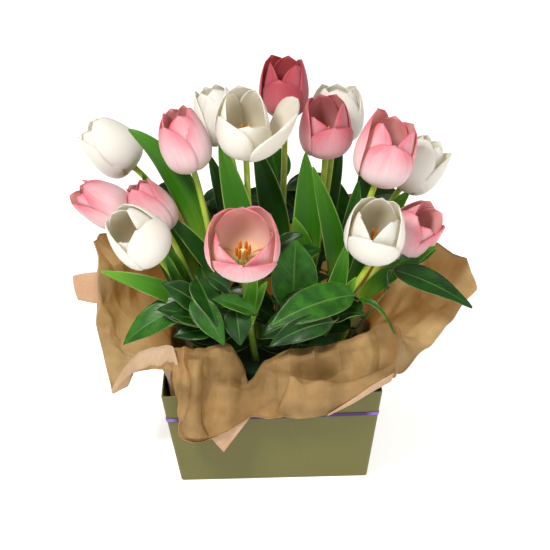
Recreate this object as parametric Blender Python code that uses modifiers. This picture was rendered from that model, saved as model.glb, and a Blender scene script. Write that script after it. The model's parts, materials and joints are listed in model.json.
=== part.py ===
"""Flower box: a tapered card posy box holding a foam-set arrangement of tulips in kraft paper.

Frame: origin at the centre of the box's underside, +Z up, the front faces -Y, +X to the right.
Blender units are metres. The tables are in millimetres and MM turns them into metres.
"""

import math
from collections import namedtuple

import bmesh
import bpy
from mathutils import Vector

MM = 0.001

# ---------------------------------------------------------------- driving dimensions (mm)
BOX_TOP = 200.0  # outer side of the square rim
BOX_BASE = 171.5  # outer side of the square underside
BOX_HEIGHT = 92.0
CARD = 1.2  # carton board thickness
FIT_GAP = 0.3  # between pieces that rest on each other
CORNER_ROUND = 1.2  # folded card corner
UPRIGHT_LEAST = 20.0  # an edge that climbs more than this is a corner of its piece

FLOOR_CARD_SIDE = 164.0
FLOOR_CARD_THICK = 1.5

RIBBON_HEIGHT = 3.2
RIBBON_THICK = 0.4
RIBBON_MIDDLE = 68.0  # height of the ribbon's centre line above the underside
RIBBON_TILT = 0.6  # degrees, higher towards +X

WRAP_THICK = 0.8
WRAP_FLOOR_HALF = 79.0
WRAP_WALL_HALF = 83.8
WRAP_WALL_FOOT = 7.0
WRAP_RIM_HALF = 96.3
WRAP_RIM_ABOVE = 2.2
WRAP_SQUARENESS = 8  # exponent of the superellipse that rounds the paper's corners
WRAP_BULGE = 0.06  # how far the paper bows out past its ridge, as a share of that run
WRAP_FLOOR_GAP = 0.1

TRAY_BASE_HALF = 66.0
TRAY_TOP_HALF = 75.5
TRAY_TOP = 84.0
TRAY_WALL = 1.0
TRAY_CORNER = 6.0

FOAM_BASE_HALF = 63.0
FOAM_TOP_HALF = 72.0
FOAM_TOP = 104.0
FOAM_CORNER = 7.0
FOAM_EDGE = 4.0

STEM_RADIUS = 3.2
SPRIG_RADIUS = 1.6
HOLE_CLEARANCE = 0.6
HOLE_EXTRA = 2.0  # hole below the stem's end
HOLE_SPARE = 12.0  # length of the drill that stands out of the foam
BURIED = 55.0  # length of stem inside the foam
FAN_FOCUS = 140.0  # every buried stem points away from a point this far below the foam's top

PETAL_WALL = 2.4
BLOOM_SHOULDER = 0.14  # how far a bloom's upper wall bows out, as a share of its radius
BLOOM_SIDES = 10
LEAF_THICK = 1.0
LEAF_STEPS = 7
STEM_STEPS = 7
STEM_NECK = 3.0  # straight end of a tulip stem under its bloom
STEM_LEAD = 0.40  # how far a stem keeps its first direction, as a share of its reach
STEM_FOLLOW = 0.28  # how far it keeps its last one
BLADE_FOLLOW = 0.35
BLADE_PROBE = 0.05  # step along a stem for reading its direction
LEAF_PROBE = 0.02
LEAF_FOLD = 0.18  # rise of a leaf's margins over its midrib, as a share of its half width
BLADE_CROWN = 0.4  # where a salal leaf stands highest, as a share of its blade
LEAF_ARCH = 0.12  # how high that is, as a share of its blade
LEAF_WIDEST = 0.75  # exponent that moves a leaf's widest place towards its foot
LEAF_FULLNESS = 0.85
LEAF_TIP = 0.8  # widths of the ends of a leaf
TULIP_LEAF_FOOT = 5.0
SALAL_LEAF_FOOT = 3.0

FRONT = (0.0, -1.0, 0.25)
BACK = (0.0, 1.0, 0.25)

# ---------------------------------------------------------------- colours (linear RGB) by material
COLOURS = {
    "olive_card": (0.20, 0.19, 0.055),
    "purple_ribbon": (0.11, 0.05, 0.21),
    "kraft_paper": (0.38, 0.21, 0.085),
    "liner_plastic": (0.03, 0.03, 0.03),
    "grey_board": (0.30, 0.22, 0.14),
    "foam_green": (0.02, 0.09, 0.03),
    "stem_green": (0.40, 0.53, 0.04),
    "leaf_green": (0.06, 0.22, 0.02),
    "foliage_green": (0.015, 0.09, 0.012),
    "pink_petal": (0.80, 0.19, 0.24),
    "white_petal": (0.83, 0.80, 0.72),
}

Tulip = namedtuple("Tulip", "number colour entry centre axis radius length mouth")
# entry: where the stem enters the foam. centre: middle of the bloom. axis: base to tip of the bloom.
TULIPS = [
    Tulip(1, "pink", (8, 24), (19, 40, 338), (0.02, -0.08, 1.0), 22, 55, 16),
    Tulip(2, "white", (-10, -8), (-18, -12, 320), (0.0, -0.35, 1.0), 26, 60, 21),
    Tulip(3, "white", (-22, 42), (-44, 50, 310), (-0.30, 0.10, 1.0), 23, 56, 12),
    Tulip(4, "pink", (-34, -4), (-74, -5, 304), (-0.25, -0.12, 1.0), 23, 59, 14),
    Tulip(5, "white", (-56, 36), (-147, 62, 277), (-0.85, 0.0, 0.80), 24, 58, 13),
    Tulip(6, "pink", (-66, 8), (-153, 14, 238), (-0.90, -0.05, 0.55), 21, 52, 13),
    Tulip(7, "pink", (-52, -12), (-107, -6, 241), (-0.55, -0.05, 1.0), 21, 54, 11),
    Tulip(8, "white", (-50, -38), (-117, -66, 236), (-0.55, -0.45, 0.85), 26, 60, 14),
    Tulip(9, "pink", (-14, -50), (-22, -80, 229), (0.02, -0.50, 0.86), 28, 50, 26),
    Tulip(10, "pink", (20, -8), (55, 2, 311), (0.02, -0.22, 1.0), 24, 55, 16),
    Tulip(11, "white", (32, 42), (66, 55, 307), (0.10, 0.0, 1.0), 26, 54, 15),
    Tulip(12, "pink", (44, -4), (110, -15, 291), (0.33, -0.20, 1.0), 26, 62, 18),
    Tulip(13, "white", (62, 24), (142, 35, 261), (0.66, 0.0, 0.90), 22, 55, 14),
    Tulip(14, "white", (36, -40), (97, -60, 232), (0.10, -0.42, 0.90), 27, 56, 19),
    Tulip(15, "pink", (64, -18), (134, -10, 212), (0.66, -0.35, 0.75), 23, 54, 16),
]

TulipLeaf = namedtuple("TulipLeaf", "tulip height tip width face rise")
# height: above the foam, where the blade leaves its stem. rise: how far it follows the stem, 0 to 1.
TULIP_LEAVES = [
    TulipLeaf(1, 40, (-10, 24, 290), 26, FRONT, 0.40),
    TulipLeaf(2, 30, (-42, -8, 303), 27, FRONT, 0.40),
    TulipLeaf(3, 30, (-54, 62, 268), 20, BACK, 0.40),
    TulipLeaf(4, 30, (-126, 26, 306), 26, BACK, 0.72),
    TulipLeaf(5, 30, (-116, 30, 262), 22, FRONT, 0.36),
    TulipLeaf(6, 20, (-110, 22, 196), 14, BACK, 0.25),
    TulipLeaf(7, 25, (-92, -26, 208), 14, FRONT, 0.25),
    TulipLeaf(8, 54, (-148, -88, 211), 18, FRONT, 0.22),
    TulipLeaf(9, 45, (-2, -74, 192), 12, FRONT, 0.30),
    TulipLeaf(10, 40, (36, -18, 294), 26, FRONT, 0.40),
    TulipLeaf(11, 30, (72, 66, 272), 22, BACK, 0.40),
    TulipLeaf(12, 50, (42, -39, 287), 20, FRONT, 0.25),
    TulipLeaf(13, 30, (90, 34, 270), 22, FRONT, 0.40),
    TulipLeaf(14, 20, (72, -44, 216), 18, FRONT, 0.30),
    TulipLeaf(15, 40, (155, -43, 209), 17, FRONT, 0.25),
]

Blade = namedtuple("Blade", "start foot tip width face")
Sprig = namedtuple("Sprig", "name entry top blades")
# start: share of the sprig where the leaf's stalk leaves it. foot, tip: ends of its blade.
SPRIGS = [
    Sprig("salal_front_right", (16, -63), (70, -76, 172), [
        Blade(0.98, (76, -78, 178), (0, -98, 158), 32, (0.1, -0.8, 0.9)),
        Blade(0.80, (56, -96, 160), (-1, -108, 143), 20, (0.1, -0.9, 0.6)),
    ]),
    Sprig("salal_front_left", (-34, -64), (-52, -82, 170), [
        Blade(0.98, (-64, -74, 196), (-47, -101, 161), 26, (0.5, -0.9, 0.5)),
        Blade(0.80, (-68, -84, 180), (-41, -109, 146), 20, (0.1, -1.0, 0.4)),
        Blade(0.60, (-30, -84, 169), (-27, -101, 142), 24, (0.0, -1.0, 0.4)),
    ]),
    Sprig("salal_left", (-66, -30), (-88, -40, 126), [
        Blade(0.95, (-98, -52, 134), (-134, -70, 126), 22, (-0.1, -0.7, 0.8)),
    ]),
    Sprig("salal_right", (62, -46), (110, -46, 172), [
        Blade(0.97, (124, -50, 182), (184, -62, 156), 24, (0.3, -0.6, 0.8)),
    ]),
    Sprig("salal_centre", (6, -28), (12, -48, 196), [
        Blade(0.60, (22, -66, 160), (25, -50, 222), 30, (0.1, -1.0, 0.2)),
    ]),
    Sprig("salal_back_left", (-40, 64), (-70, 82, 214), [
        Blade(0.95, (-74, 80, 216), (-112, 88, 222), 30, (-0.2, 0.8, 0.5)),
        Blade(0.60, (-52, 78, 190), (-30, 92, 226), 28, (0.2, 0.9, 0.3)),
    ]),
    Sprig("salal_back_middle", (6, 64), (14, 84, 226), [
        Blade(0.97, (12, 86, 230), (2, 92, 268), 30, (0.0, 1.0, 0.2)),
        Blade(0.55, (14, 82, 190), (36, 90, 208), 26, (0.2, 0.9, 0.4)),
    ]),
    Sprig("salal_back_right", (48, 64), (86, 80, 206), [
        Blade(0.95, (90, 82, 208), (128, 84, 214), 30, (0.2, 0.8, 0.5)),
        Blade(0.55, (68, 80, 180), (70, 92, 226), 24, (0.0, 0.9, 0.3)),
    ]),
]

# The kraft sheet lies corner to the front, so its corners stand out at the front, sides and back.
# Each row is one crease line of the sheet: its ridge above the rim, its brow where it turns down
# (None for a plain bulge), then its outer edge.
WRAP_CREASES = [
    ((-6, -91, 127), (-6, -112, 114), (-4, -114, 69)),
    ((17, -89, 135), (17, -112, 114), (17, -114, 70)),
    ((38, -89, 138), (42, -112, 112), (40, -114, 75)),
    ((60, -89, 142), (64, -112, 110), (62, -114, 84)),
    ((86, -89, 143), (86, -111, 115), (86, -113, 100)),
    ((108, -84, 148), (110, -100, 126), (107, -106, 108)),
    ((116, -56, 120), None, (119, -78, 104)),
    ((125, -30, 112), None, (153, -40, 119)),
    ((140, -8, 120), None, (192, -12, 152)),
    ((140, 15, 130), None, (184, 18, 174)),
    ((126, 36, 132), None, (160, 44, 180)),
    ((112, 62, 132), None, (132, 78, 188)),
    ((97, 95, 134), None, (110, 102, 198)),
    ((74, 100, 140), None, (84, 112, 206)),
    ((28, 101, 140), None, (30, 114, 204)),
    ((-28, 102, 142), None, (-30, 116, 210)),
    ((-74, 101, 142), None, (-84, 112, 206)),
    ((-97, 95, 136), None, (-110, 100, 198)),
    ((-112, 62, 136), None, (-130, 76, 196)),
    ((-126, 36, 138), None, (-156, 40, 200)),
    ((-134, 14, 134), None, (-166, 18, 198)),
    ((-138, -6, 126), None, (-178, -4, 168)),
    ((-128, -28, 112), None, (-160, -24, 132)),
    ((-116, -50, 108), None, (-149, -50, 93)),
    ((-108, -72, 116), None, (-118, -84, 111)),
    ((-94, -86, 128), None, (-97, -104, 118)),
    ((-82, -93, 138), (-88, -112, 122), (-91, -115, 61)),
    ((-68, -90, 137), (-72, -115, 102), (-77, -116, 55)),
    ((-54, -89, 136), (-56, -112, 98), (-58, -114, 56)),
    ((-38, -90, 135), (-38, -115, 105), (-44, -116, 46)),
    ((-22, -93, 110), (-20, -110, 106), (-20, -114, 75)),
]


def reset_scene():
    """Remove the scene's objects and return the collections for the pieces and their cutters."""
    for old in list(bpy.data.objects):
        bpy.data.objects.remove(old, do_unlink=True)
    pieces = bpy.data.collections.new("flower_box")
    cutters = bpy.data.collections.new("cutters")
    for group in (pieces, cutters):
        bpy.context.scene.collection.children.link(group)
    return pieces, cutters


def make_material(name, roughness=0.6):
    material = bpy.data.materials.new(name)
    material.use_nodes = True
    shader = material.node_tree.nodes["Principled BSDF"]
    shader.inputs["Base Color"].default_value = (*COLOURS[name.split(".")[0]], 1.0)
    shader.inputs["Roughness"].default_value = roughness
    shader.inputs["Metallic"].default_value = 0.0
    return material


def add_object(name, data, collection, material=None):
    piece = bpy.data.objects.new(name, data)
    collection.objects.link(piece)
    if material:
        data.materials.append(material)
    return piece


def mesh_from(grid, name):
    mesh = bpy.data.meshes.new(name)
    grid.to_mesh(mesh)
    grid.free()
    return mesh


def solidify(piece, thickness, offset=0.0):
    modifier = piece.modifiers.new("thickness", "SOLIDIFY")
    modifier.thickness = thickness * MM
    modifier.offset = offset
    modifier.use_even_offset = True


def box_half(height):
    """Half the carton's outer side at this height."""
    return 0.5 * (BOX_BASE + (BOX_TOP - BOX_BASE) * height / BOX_HEIGHT)


def tapered_block(base_half, top_half, bottom, top):
    """A bmesh box whose sides lean between two heights (mm in, metres out)."""
    block = bmesh.new()
    bmesh.ops.create_cube(block, size=2.0)
    for vertex in block.verts:
        half = top_half if vertex.co.z > 0 else base_half
        height = top if vertex.co.z > 0 else bottom
        vertex.co = Vector((vertex.co.x * half, vertex.co.y * half, height)) * MM
    return block


def open_top(block):
    highest = max(block.faces, key=lambda face: face.calc_center_median().z)
    bmesh.ops.delete(block, geom=[highest], context="FACES_ONLY")


def round_uprights(block, radius, segments):
    uprights = [
        edge
        for edge in block.edges
        if abs(edge.verts[0].co.z - edge.verts[1].co.z) > UPRIGHT_LEAST * MM
    ]
    bmesh.ops.bevel(block, geom=uprights, offset=radius * MM, segments=segments, affect="EDGES")


# ---------------------------------------------------------------- box, card, ribbon, tray and foam
def build_carton(pieces):
    block = tapered_block(BOX_BASE / 2, BOX_TOP / 2, 0.0, BOX_HEIGHT)
    open_top(block)
    round_uprights(block, CORNER_ROUND, 2)
    carton = add_object("carton", mesh_from(block, "carton"), pieces, make_material("olive_card"))
    solidify(carton, CARD, -1.0)


def build_floor_card(pieces):
    bottom = CARD + FIT_GAP
    half = FLOOR_CARD_SIDE / 2
    block = tapered_block(half, half, bottom, bottom + FLOOR_CARD_THICK)
    material = make_material("grey_board", 0.8)
    add_object("floor_card", mesh_from(block, "floor_card"), pieces, material)


def build_ribbon(pieces):
    low = RIBBON_MIDDLE - RIBBON_HEIGHT / 2
    high = RIBBON_MIDDLE + RIBBON_HEIGHT / 2
    band = tapered_block(box_half(low) + FIT_GAP, box_half(high) + FIT_GAP, low, high)
    band.normal_update()
    level = [face for face in band.faces if abs(face.normal.z) > 0.5]
    bmesh.ops.delete(band, geom=level, context="FACES_ONLY")
    uprights = [edge for edge in band.edges if edge.verts[0].co.z != edge.verts[1].co.z]
    bmesh.ops.bevel(band, geom=uprights, offset=CORNER_ROUND * MM, segments=2, affect="EDGES")
    for vertex in band.verts:
        vertex.co.z += vertex.co.x * math.tan(math.radians(RIBBON_TILT))
    material = make_material("purple_ribbon", 0.35)
    ribbon = add_object("ribbon_band", mesh_from(band, "ribbon_band"), pieces, material)
    solidify(ribbon, RIBBON_THICK, 1.0)


def build_tray(pieces):
    bottom = CARD + FLOOR_CARD_THICK + WRAP_THICK + 4 * FIT_GAP
    block = tapered_block(TRAY_BASE_HALF, TRAY_TOP_HALF, bottom, TRAY_TOP)
    open_top(block)
    round_uprights(block, TRAY_CORNER, 3)
    material = make_material("liner_plastic", 0.4)
    tray = add_object("liner_tray", mesh_from(block, "liner_tray"), pieces, material)
    solidify(tray, TRAY_WALL, -1.0)
    return bottom + TRAY_WALL


def build_foam(pieces, cutters, tray_floor):
    """A tapered brick, standing out above the tray, with a hole for every stem."""
    block = tapered_block(FOAM_BASE_HALF, FOAM_TOP_HALF, tray_floor + FIT_GAP, FOAM_TOP)
    round_uprights(block, FOAM_CORNER, 1)
    highest = max(block.faces, key=lambda face: face.calc_center_median().z)
    bmesh.ops.bevel(block, geom=list(highest.edges), offset=FOAM_EDGE * MM, segments=1, affect="EDGES")
    material = make_material("foam_green", 0.9)
    foam = add_object("floral_foam", mesh_from(block, "floral_foam"), pieces, material)
    for plant in TULIPS + SPRIGS:
        radius = SPRIG_RADIUS if isinstance(plant, Sprig) else STEM_RADIUS
        hole = stem_hole(plant, radius + HOLE_CLEARANCE, cutters)
        cut = foam.modifiers.new(hole.name, "BOOLEAN")
        cut.operation = "DIFFERENCE"
        cut.object = hole


# ---------------------------------------------------------------- stems
def entry_point(plant):
    return Vector((*plant.entry, FOAM_TOP))


def draw_direction(plant):
    """Unit direction of the buried stem, which is also the direction it draws out of the foam."""
    return Vector((*plant.entry, FAN_FOCUS)).normalized()


def stem_hole(plant, radius, cutters):
    depth = BURIED + HOLE_EXTRA
    direction = draw_direction(plant)
    drill = bmesh.new()
    bmesh.ops.create_cone(
        drill,
        cap_ends=True,
        segments=10,
        radius1=radius * MM,
        radius2=radius * MM,
        depth=(depth + HOLE_SPARE) * MM,
    )
    across, deep = plant.entry
    hole = add_object(f"hole_{across}_{deep}", mesh_from(drill, "hole"), cutters)
    hole.location = (entry_point(plant) + direction * (HOLE_SPARE - depth) / 2) * MM
    hole.rotation_euler = direction.to_track_quat("Z", "Y").to_euler()
    hole.hide_render = True
    hole.display_type = "WIRE"
    return hole


def bezier(start, lead, follow, end, share):
    """Point of a cubic Bezier curve at this share of its way."""
    rest = 1.0 - share
    return (
        start * rest**3
        + lead * 3 * rest**2 * share
        + follow * 3 * rest * share**2
        + end * share**3
    )


def stem_curve(plant, end, arrival):
    """A function of 0 to 1 along the stem above the foam, leaving along the hole and arriving as told."""
    start = entry_point(plant)
    reach = (end - start).length
    lead = start + draw_direction(plant) * reach * STEM_LEAD
    follow = end - arrival * reach * STEM_FOLLOW
    return lambda share: bezier(start, lead, follow, end, share)


def bloom_axis(tulip):
    return Vector(tulip.axis).normalized()


def tulip_stem_curve(tulip):
    axis = bloom_axis(tulip)
    base = Vector(tulip.centre) - axis * (tulip.length / 2 + FIT_GAP + STEM_NECK)
    return stem_curve(tulip, base, axis)


def sprig_stem_curve(sprig):
    top = Vector(sprig.top)
    return stem_curve(sprig, top, (top - entry_point(sprig)).normalized())


def stem_points(plant, path):
    """Points of a stem's centre line, from the bottom of its hole to its top."""
    points = [entry_point(plant) - draw_direction(plant) * BURIED]
    points += [path(step / STEM_STEPS) for step in range(STEM_STEPS + 1)]
    if isinstance(plant, Tulip):
        points.append(points[-1] + bloom_axis(plant) * STEM_NECK)
    return points


def add_stem(name, plant, path, radius, material, pieces):
    """A round wire along the plant's centre line."""
    points = stem_points(plant, path)
    wire = bpy.data.curves.new(name, "CURVE")
    wire.dimensions = "3D"
    wire.bevel_depth = radius * MM
    wire.bevel_resolution = 1
    wire.use_fill_caps = True
    spline = wire.splines.new("POLY")
    spline.points.add(len(points) - 1)
    for target, point in zip(spline.points, points):
        target.co = (*(point * MM), 1.0)
    return add_object(name, wire, pieces, material)


# ---------------------------------------------------------------- leaves and blooms
def leaf_width(share, width, foot):
    """Half width along a leaf: a narrow foot, widest before the middle and a pointed tip."""
    swell = math.sin(math.pi * share**LEAF_WIDEST) ** LEAF_FULLNESS if 0 < share < 1 else 0.0
    narrow = foot + (LEAF_TIP - foot) * share
    return 0.5 * (narrow + (width - narrow) * swell)


def leaf_grid(path, width, foot, face):
    """A leaf blade laid along a path, with its upper side turned to the face direction."""
    blade = bmesh.new()
    bmesh.ops.create_grid(blade, x_segments=2, y_segments=LEAF_STEPS, size=1.0)
    for vertex in blade.verts:
        across = vertex.co.x
        share = (vertex.co.y + 1.0) / 2.0
        ahead = path(min(share + LEAF_PROBE, 1.0)) - path(max(share - LEAF_PROBE, 0.0))
        ahead.normalize()
        side = ahead.cross(Vector(face)).normalized()
        upper = side.cross(ahead).normalized()
        half = leaf_width(share, width, foot)
        fold = LEAF_FOLD * half * abs(across)
        vertex.co = (path(share) + side * across * half + upper * fold) * MM
    return blade


def add_leaf(name, path, width, foot, face, collection, material=None):
    leaf = add_object(name, mesh_from(leaf_grid(path, width, foot, face), name), collection, material)
    solidify(leaf, LEAF_THICK)
    return leaf


def tulip_leaf_path(leaf, tulip):
    """Centre line of a blade that starts beside its stem, follows it and then bends to its tip."""
    stem = tulip_stem_curve(tulip)
    share = leaf.height / (tulip.centre[2] - FOAM_TOP)
    along = (stem(share + BLADE_PROBE) - stem(share - BLADE_PROBE)).normalized()
    face = Vector(leaf.face)
    outward = (face - along * face.dot(along)).normalized()
    start = stem(share) + outward * (STEM_RADIUS + LEAF_THICK + FIT_GAP)
    tip = Vector(leaf.tip)
    reach = (tip - start).length
    lead = start + along * reach * leaf.rise
    follow = tip + (lead - tip) * BLADE_FOLLOW
    return lambda at: bezier(start, lead, follow, tip, at)


def bloom_profile(tulip):
    """Inner wall upwards, over the rim and down the outer wall, as (radius, height) in mm."""
    radius, length, mouth, wall = tulip.radius, tulip.length, tulip.mouth, PETAL_WALL
    shoulder = 0.5 * (radius + mouth) + BLOOM_SHOULDER * radius
    return [
        (0.0, 0.10 * length),
        (0.62 * radius - wall, 0.16 * length),
        (radius - wall, 0.42 * length),
        (shoulder - wall, 0.78 * length),
        (mouth - wall, length),
        (mouth, length),
        (shoulder, 0.78 * length),
        (radius, 0.40 * length),
        (0.72 * radius, 0.12 * length),
        (STEM_RADIUS, 0.0),
        (0.0, 0.0),
    ]


def add_bloom(tulip, pieces, material):
    name = f"tulip_{tulip.number:02d}_bloom"
    outline = bmesh.new()
    corners = [outline.verts.new((across * MM, 0.0, up * MM)) for across, up in bloom_profile(tulip)]
    for first, second in zip(corners, corners[1:]):
        outline.edges.new((first, second))
    bloom = add_object(name, mesh_from(outline, name), pieces, material)
    turn = bloom.modifiers.new("turn", "SCREW")
    turn.steps = BLOOM_SIDES
    turn.render_steps = BLOOM_SIDES
    turn.use_merge_vertices = True
    turn.merge_threshold = 0.0001
    turn.use_smooth_shade = True
    axis = bloom_axis(tulip)
    bloom.location = (Vector(tulip.centre) - axis * tulip.length / 2) * MM
    bloom.rotation_euler = axis.to_track_quat("Z", "Y").to_euler()


def build_tulips(pieces):
    leaves = {leaf.tulip: leaf for leaf in TULIP_LEAVES}
    for tulip in TULIPS:
        prefix = f"tulip_{tulip.number:02d}"
        petals = make_material(tulip.colour + "_petal", 0.5)
        stem = tulip_stem_curve(tulip)
        add_stem(prefix + "_stem", tulip, stem, STEM_RADIUS, make_material("stem_green"), pieces)
        add_bloom(tulip, pieces, petals)
        leaf = leaves[tulip.number]
        path = tulip_leaf_path(leaf, tulip)
        green = make_material("leaf_green")
        add_leaf(prefix + "_leaf", path, leaf.width, TULIP_LEAF_FOOT, leaf.face, pieces, green)


def mesh_copy(source):
    """A welded mesh copy of a curve object, which is then removed."""
    graph = bpy.context.evaluated_depsgraph_get()
    mesh = bpy.data.meshes.new_from_object(source.evaluated_get(graph))
    work = bmesh.new()
    work.from_mesh(mesh)
    bmesh.ops.remove_doubles(work, verts=work.verts, dist=0.00001)
    work.to_mesh(mesh)
    work.free()
    name = source.name
    group = source.users_collection[0]
    bpy.data.objects.remove(source, do_unlink=True)
    copy = bpy.data.objects.new(name, mesh)
    group.objects.link(copy)
    return copy


def salal_leaf_path(start, foot, tip):
    """Centre line of a salal leaf: a stalk from its sprig to the blade's foot, then the arched blade."""
    reach = (tip - foot).length
    crown = foot + (tip - foot) * BLADE_CROWN + Vector((0.0, 0.0, LEAF_ARCH * reach))
    return lambda at: bezier(start, foot, crown, tip, at)


def build_sprigs(pieces, cutters):
    """Each sprig is one solid: its stem with its leaves joined on."""
    for sprig in SPRIGS:
        path = sprig_stem_curve(sprig)
        green = make_material("foliage_green", 0.3)
        wire = add_stem(sprig.name, sprig, path, SPRIG_RADIUS, green, pieces)
        stem = mesh_copy(wire)
        for number, blade in enumerate(sprig.blades):
            name = f"{sprig.name}_blade_{number}"
            line = salal_leaf_path(path(blade.start), Vector(blade.foot), Vector(blade.tip))
            leaf = add_leaf(name, line, blade.width, SALAL_LEAF_FOOT, blade.face, cutters)
            leaf.hide_render = True
            leaf.display_type = "WIRE"
            join = stem.modifiers.new(name, "BOOLEAN")
            join.operation = "UNION"
            join.object = leaf


# ---------------------------------------------------------------- kraft paper
def rounded_square(direction, half):
    """Point on a superellipse of this half width, in this flat direction."""
    across = abs(direction.x) ** WRAP_SQUARENESS + abs(direction.y) ** WRAP_SQUARENESS
    return direction * half / across ** (1.0 / WRAP_SQUARENESS)


def crease_line(ridge, brow, edge, floor):
    """One crease of the sheet, from the box floor up the wall, over the rim and out to its edge."""
    direction = Vector(ridge[:2]).normalized()
    levels = [
        (WRAP_FLOOR_HALF, floor),
        (WRAP_WALL_HALF, WRAP_WALL_FOOT),
        (WRAP_RIM_HALF, BOX_HEIGHT + WRAP_RIM_ABOVE),
    ]
    line = [Vector((*rounded_square(direction, half), height)) for half, height in levels]
    inner, outer = Vector(ridge), Vector(edge)
    bulge = Vector((direction.x, direction.y, 0.6)) * WRAP_BULGE * (outer - inner).length
    middle = Vector(brow) if brow else (inner + outer) / 2 + bulge
    return line + [inner, middle, outer]


def build_wrap(pieces):
    floor = CARD + FLOOR_CARD_THICK + 2 * FIT_GAP + WRAP_THICK / 2 + WRAP_FLOOR_GAP
    sheet = bmesh.new()
    centre = sheet.verts.new(Vector((0.0, 0.0, floor)) * MM)
    lines = [
        [sheet.verts.new(point * MM) for point in crease_line(*crease, floor)]
        for crease in WRAP_CREASES
    ]
    for line, following in zip(lines, lines[1:] + lines[:1]):
        sheet.faces.new((centre, line[0], following[0]))
        for step in range(len(line) - 1):
            sheet.faces.new((line[step], line[step + 1], following[step + 1], following[step]))
    bmesh.ops.triangulate(sheet, faces=sheet.faces)
    bmesh.ops.recalc_face_normals(sheet, faces=sheet.faces)
    material = make_material("kraft_paper", 0.8)
    wrap = add_object("kraft_wrap", mesh_from(sheet, "kraft_wrap"), pieces, material)
    solidify(wrap, WRAP_THICK)


def build_flower_box():
    pieces, cutters = reset_scene()
    build_carton(pieces)
    build_floor_card(pieces)
    build_ribbon(pieces)
    build_wrap(pieces)
    tray_floor = build_tray(pieces)
    build_foam(pieces, cutters, tray_floor)
    build_tulips(pieces)
    build_sprigs(pieces, cutters)


build_flower_box()
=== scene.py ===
"""Looks of the flower box: tulips and salal set in foam and kraft paper, in an olive card box.

The tables are in millimetres in the frame's axes (front -Y, up +Z), and MM turns them into metres.
Angles are in degrees.
"""

import json
import math
import random
from collections import namedtuple

import bmesh
import bpy
import numpy as np
from mathutils import Matrix, Vector
from mathutils.bvhtree import BVHTree

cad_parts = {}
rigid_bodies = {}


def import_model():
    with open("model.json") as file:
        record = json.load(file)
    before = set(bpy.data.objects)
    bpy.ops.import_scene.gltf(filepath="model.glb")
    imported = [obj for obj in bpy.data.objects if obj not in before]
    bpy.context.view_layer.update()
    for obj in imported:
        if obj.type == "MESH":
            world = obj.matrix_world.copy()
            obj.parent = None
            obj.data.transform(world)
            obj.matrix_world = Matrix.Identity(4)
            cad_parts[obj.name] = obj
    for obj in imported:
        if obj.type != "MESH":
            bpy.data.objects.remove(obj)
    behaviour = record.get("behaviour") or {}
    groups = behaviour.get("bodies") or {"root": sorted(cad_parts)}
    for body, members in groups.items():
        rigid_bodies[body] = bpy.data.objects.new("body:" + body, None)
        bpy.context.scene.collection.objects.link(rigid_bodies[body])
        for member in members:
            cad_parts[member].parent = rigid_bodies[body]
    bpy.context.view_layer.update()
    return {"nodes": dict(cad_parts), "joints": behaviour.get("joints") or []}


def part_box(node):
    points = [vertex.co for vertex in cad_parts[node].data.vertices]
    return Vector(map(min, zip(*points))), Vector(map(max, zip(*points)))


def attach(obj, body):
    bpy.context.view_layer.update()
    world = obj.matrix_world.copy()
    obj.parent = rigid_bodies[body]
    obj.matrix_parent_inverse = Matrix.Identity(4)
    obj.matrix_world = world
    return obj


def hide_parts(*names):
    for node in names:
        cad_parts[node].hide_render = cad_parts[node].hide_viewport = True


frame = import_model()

MM = 0.001


# ---- sizes read from the frame
def corners(node):
    """Lowest and highest corner of a CAD node in mm."""
    low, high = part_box(node)
    return low / MM, high / MM


BOX_HEIGHT = corners("carton")[1].z
BOX_TOP_HALF = corners("carton")[1].x
FOAM_TOP = corners("floral_foam")[1].z
DRAW = {joint["child"]: Vector(joint["axis"]).normalized() for joint in frame["joints"]}
REACH = {joint["child"]: joint["range_m"][1] / MM for joint in frame["joints"]}

# ---- design sizes shared with the CAD
BOX_BASE_HALF = 85.75
FAN_FOCUS = 140.0  # buried stems point away from a point this far below the foam's top
BURIED = 55.0
STEM_RADIUS = 3.2
SPRIG_RADIUS = 1.6
STEM_LEAD = 0.40  # how far a stem keeps its first direction, as a share of its reach
STEM_FOLLOW = 0.28
STEM_NECK = 3.3  # straight end of a stem under its bloom
BLADE_GAP = 4.5  # from a stem's centre line to the foot of its blade
BLADE_FOLLOW = 0.35

# ---- the plants
UP = Vector((0.0, 0.0, 1.0))
FRONT = (0.0, -1.0, 0.25)
BACK = (0.0, 1.0, 0.25)
PINK = (1, 4, 6, 7, 9, 10, 12, 15)
TULIP_COUNT = 15

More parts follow.
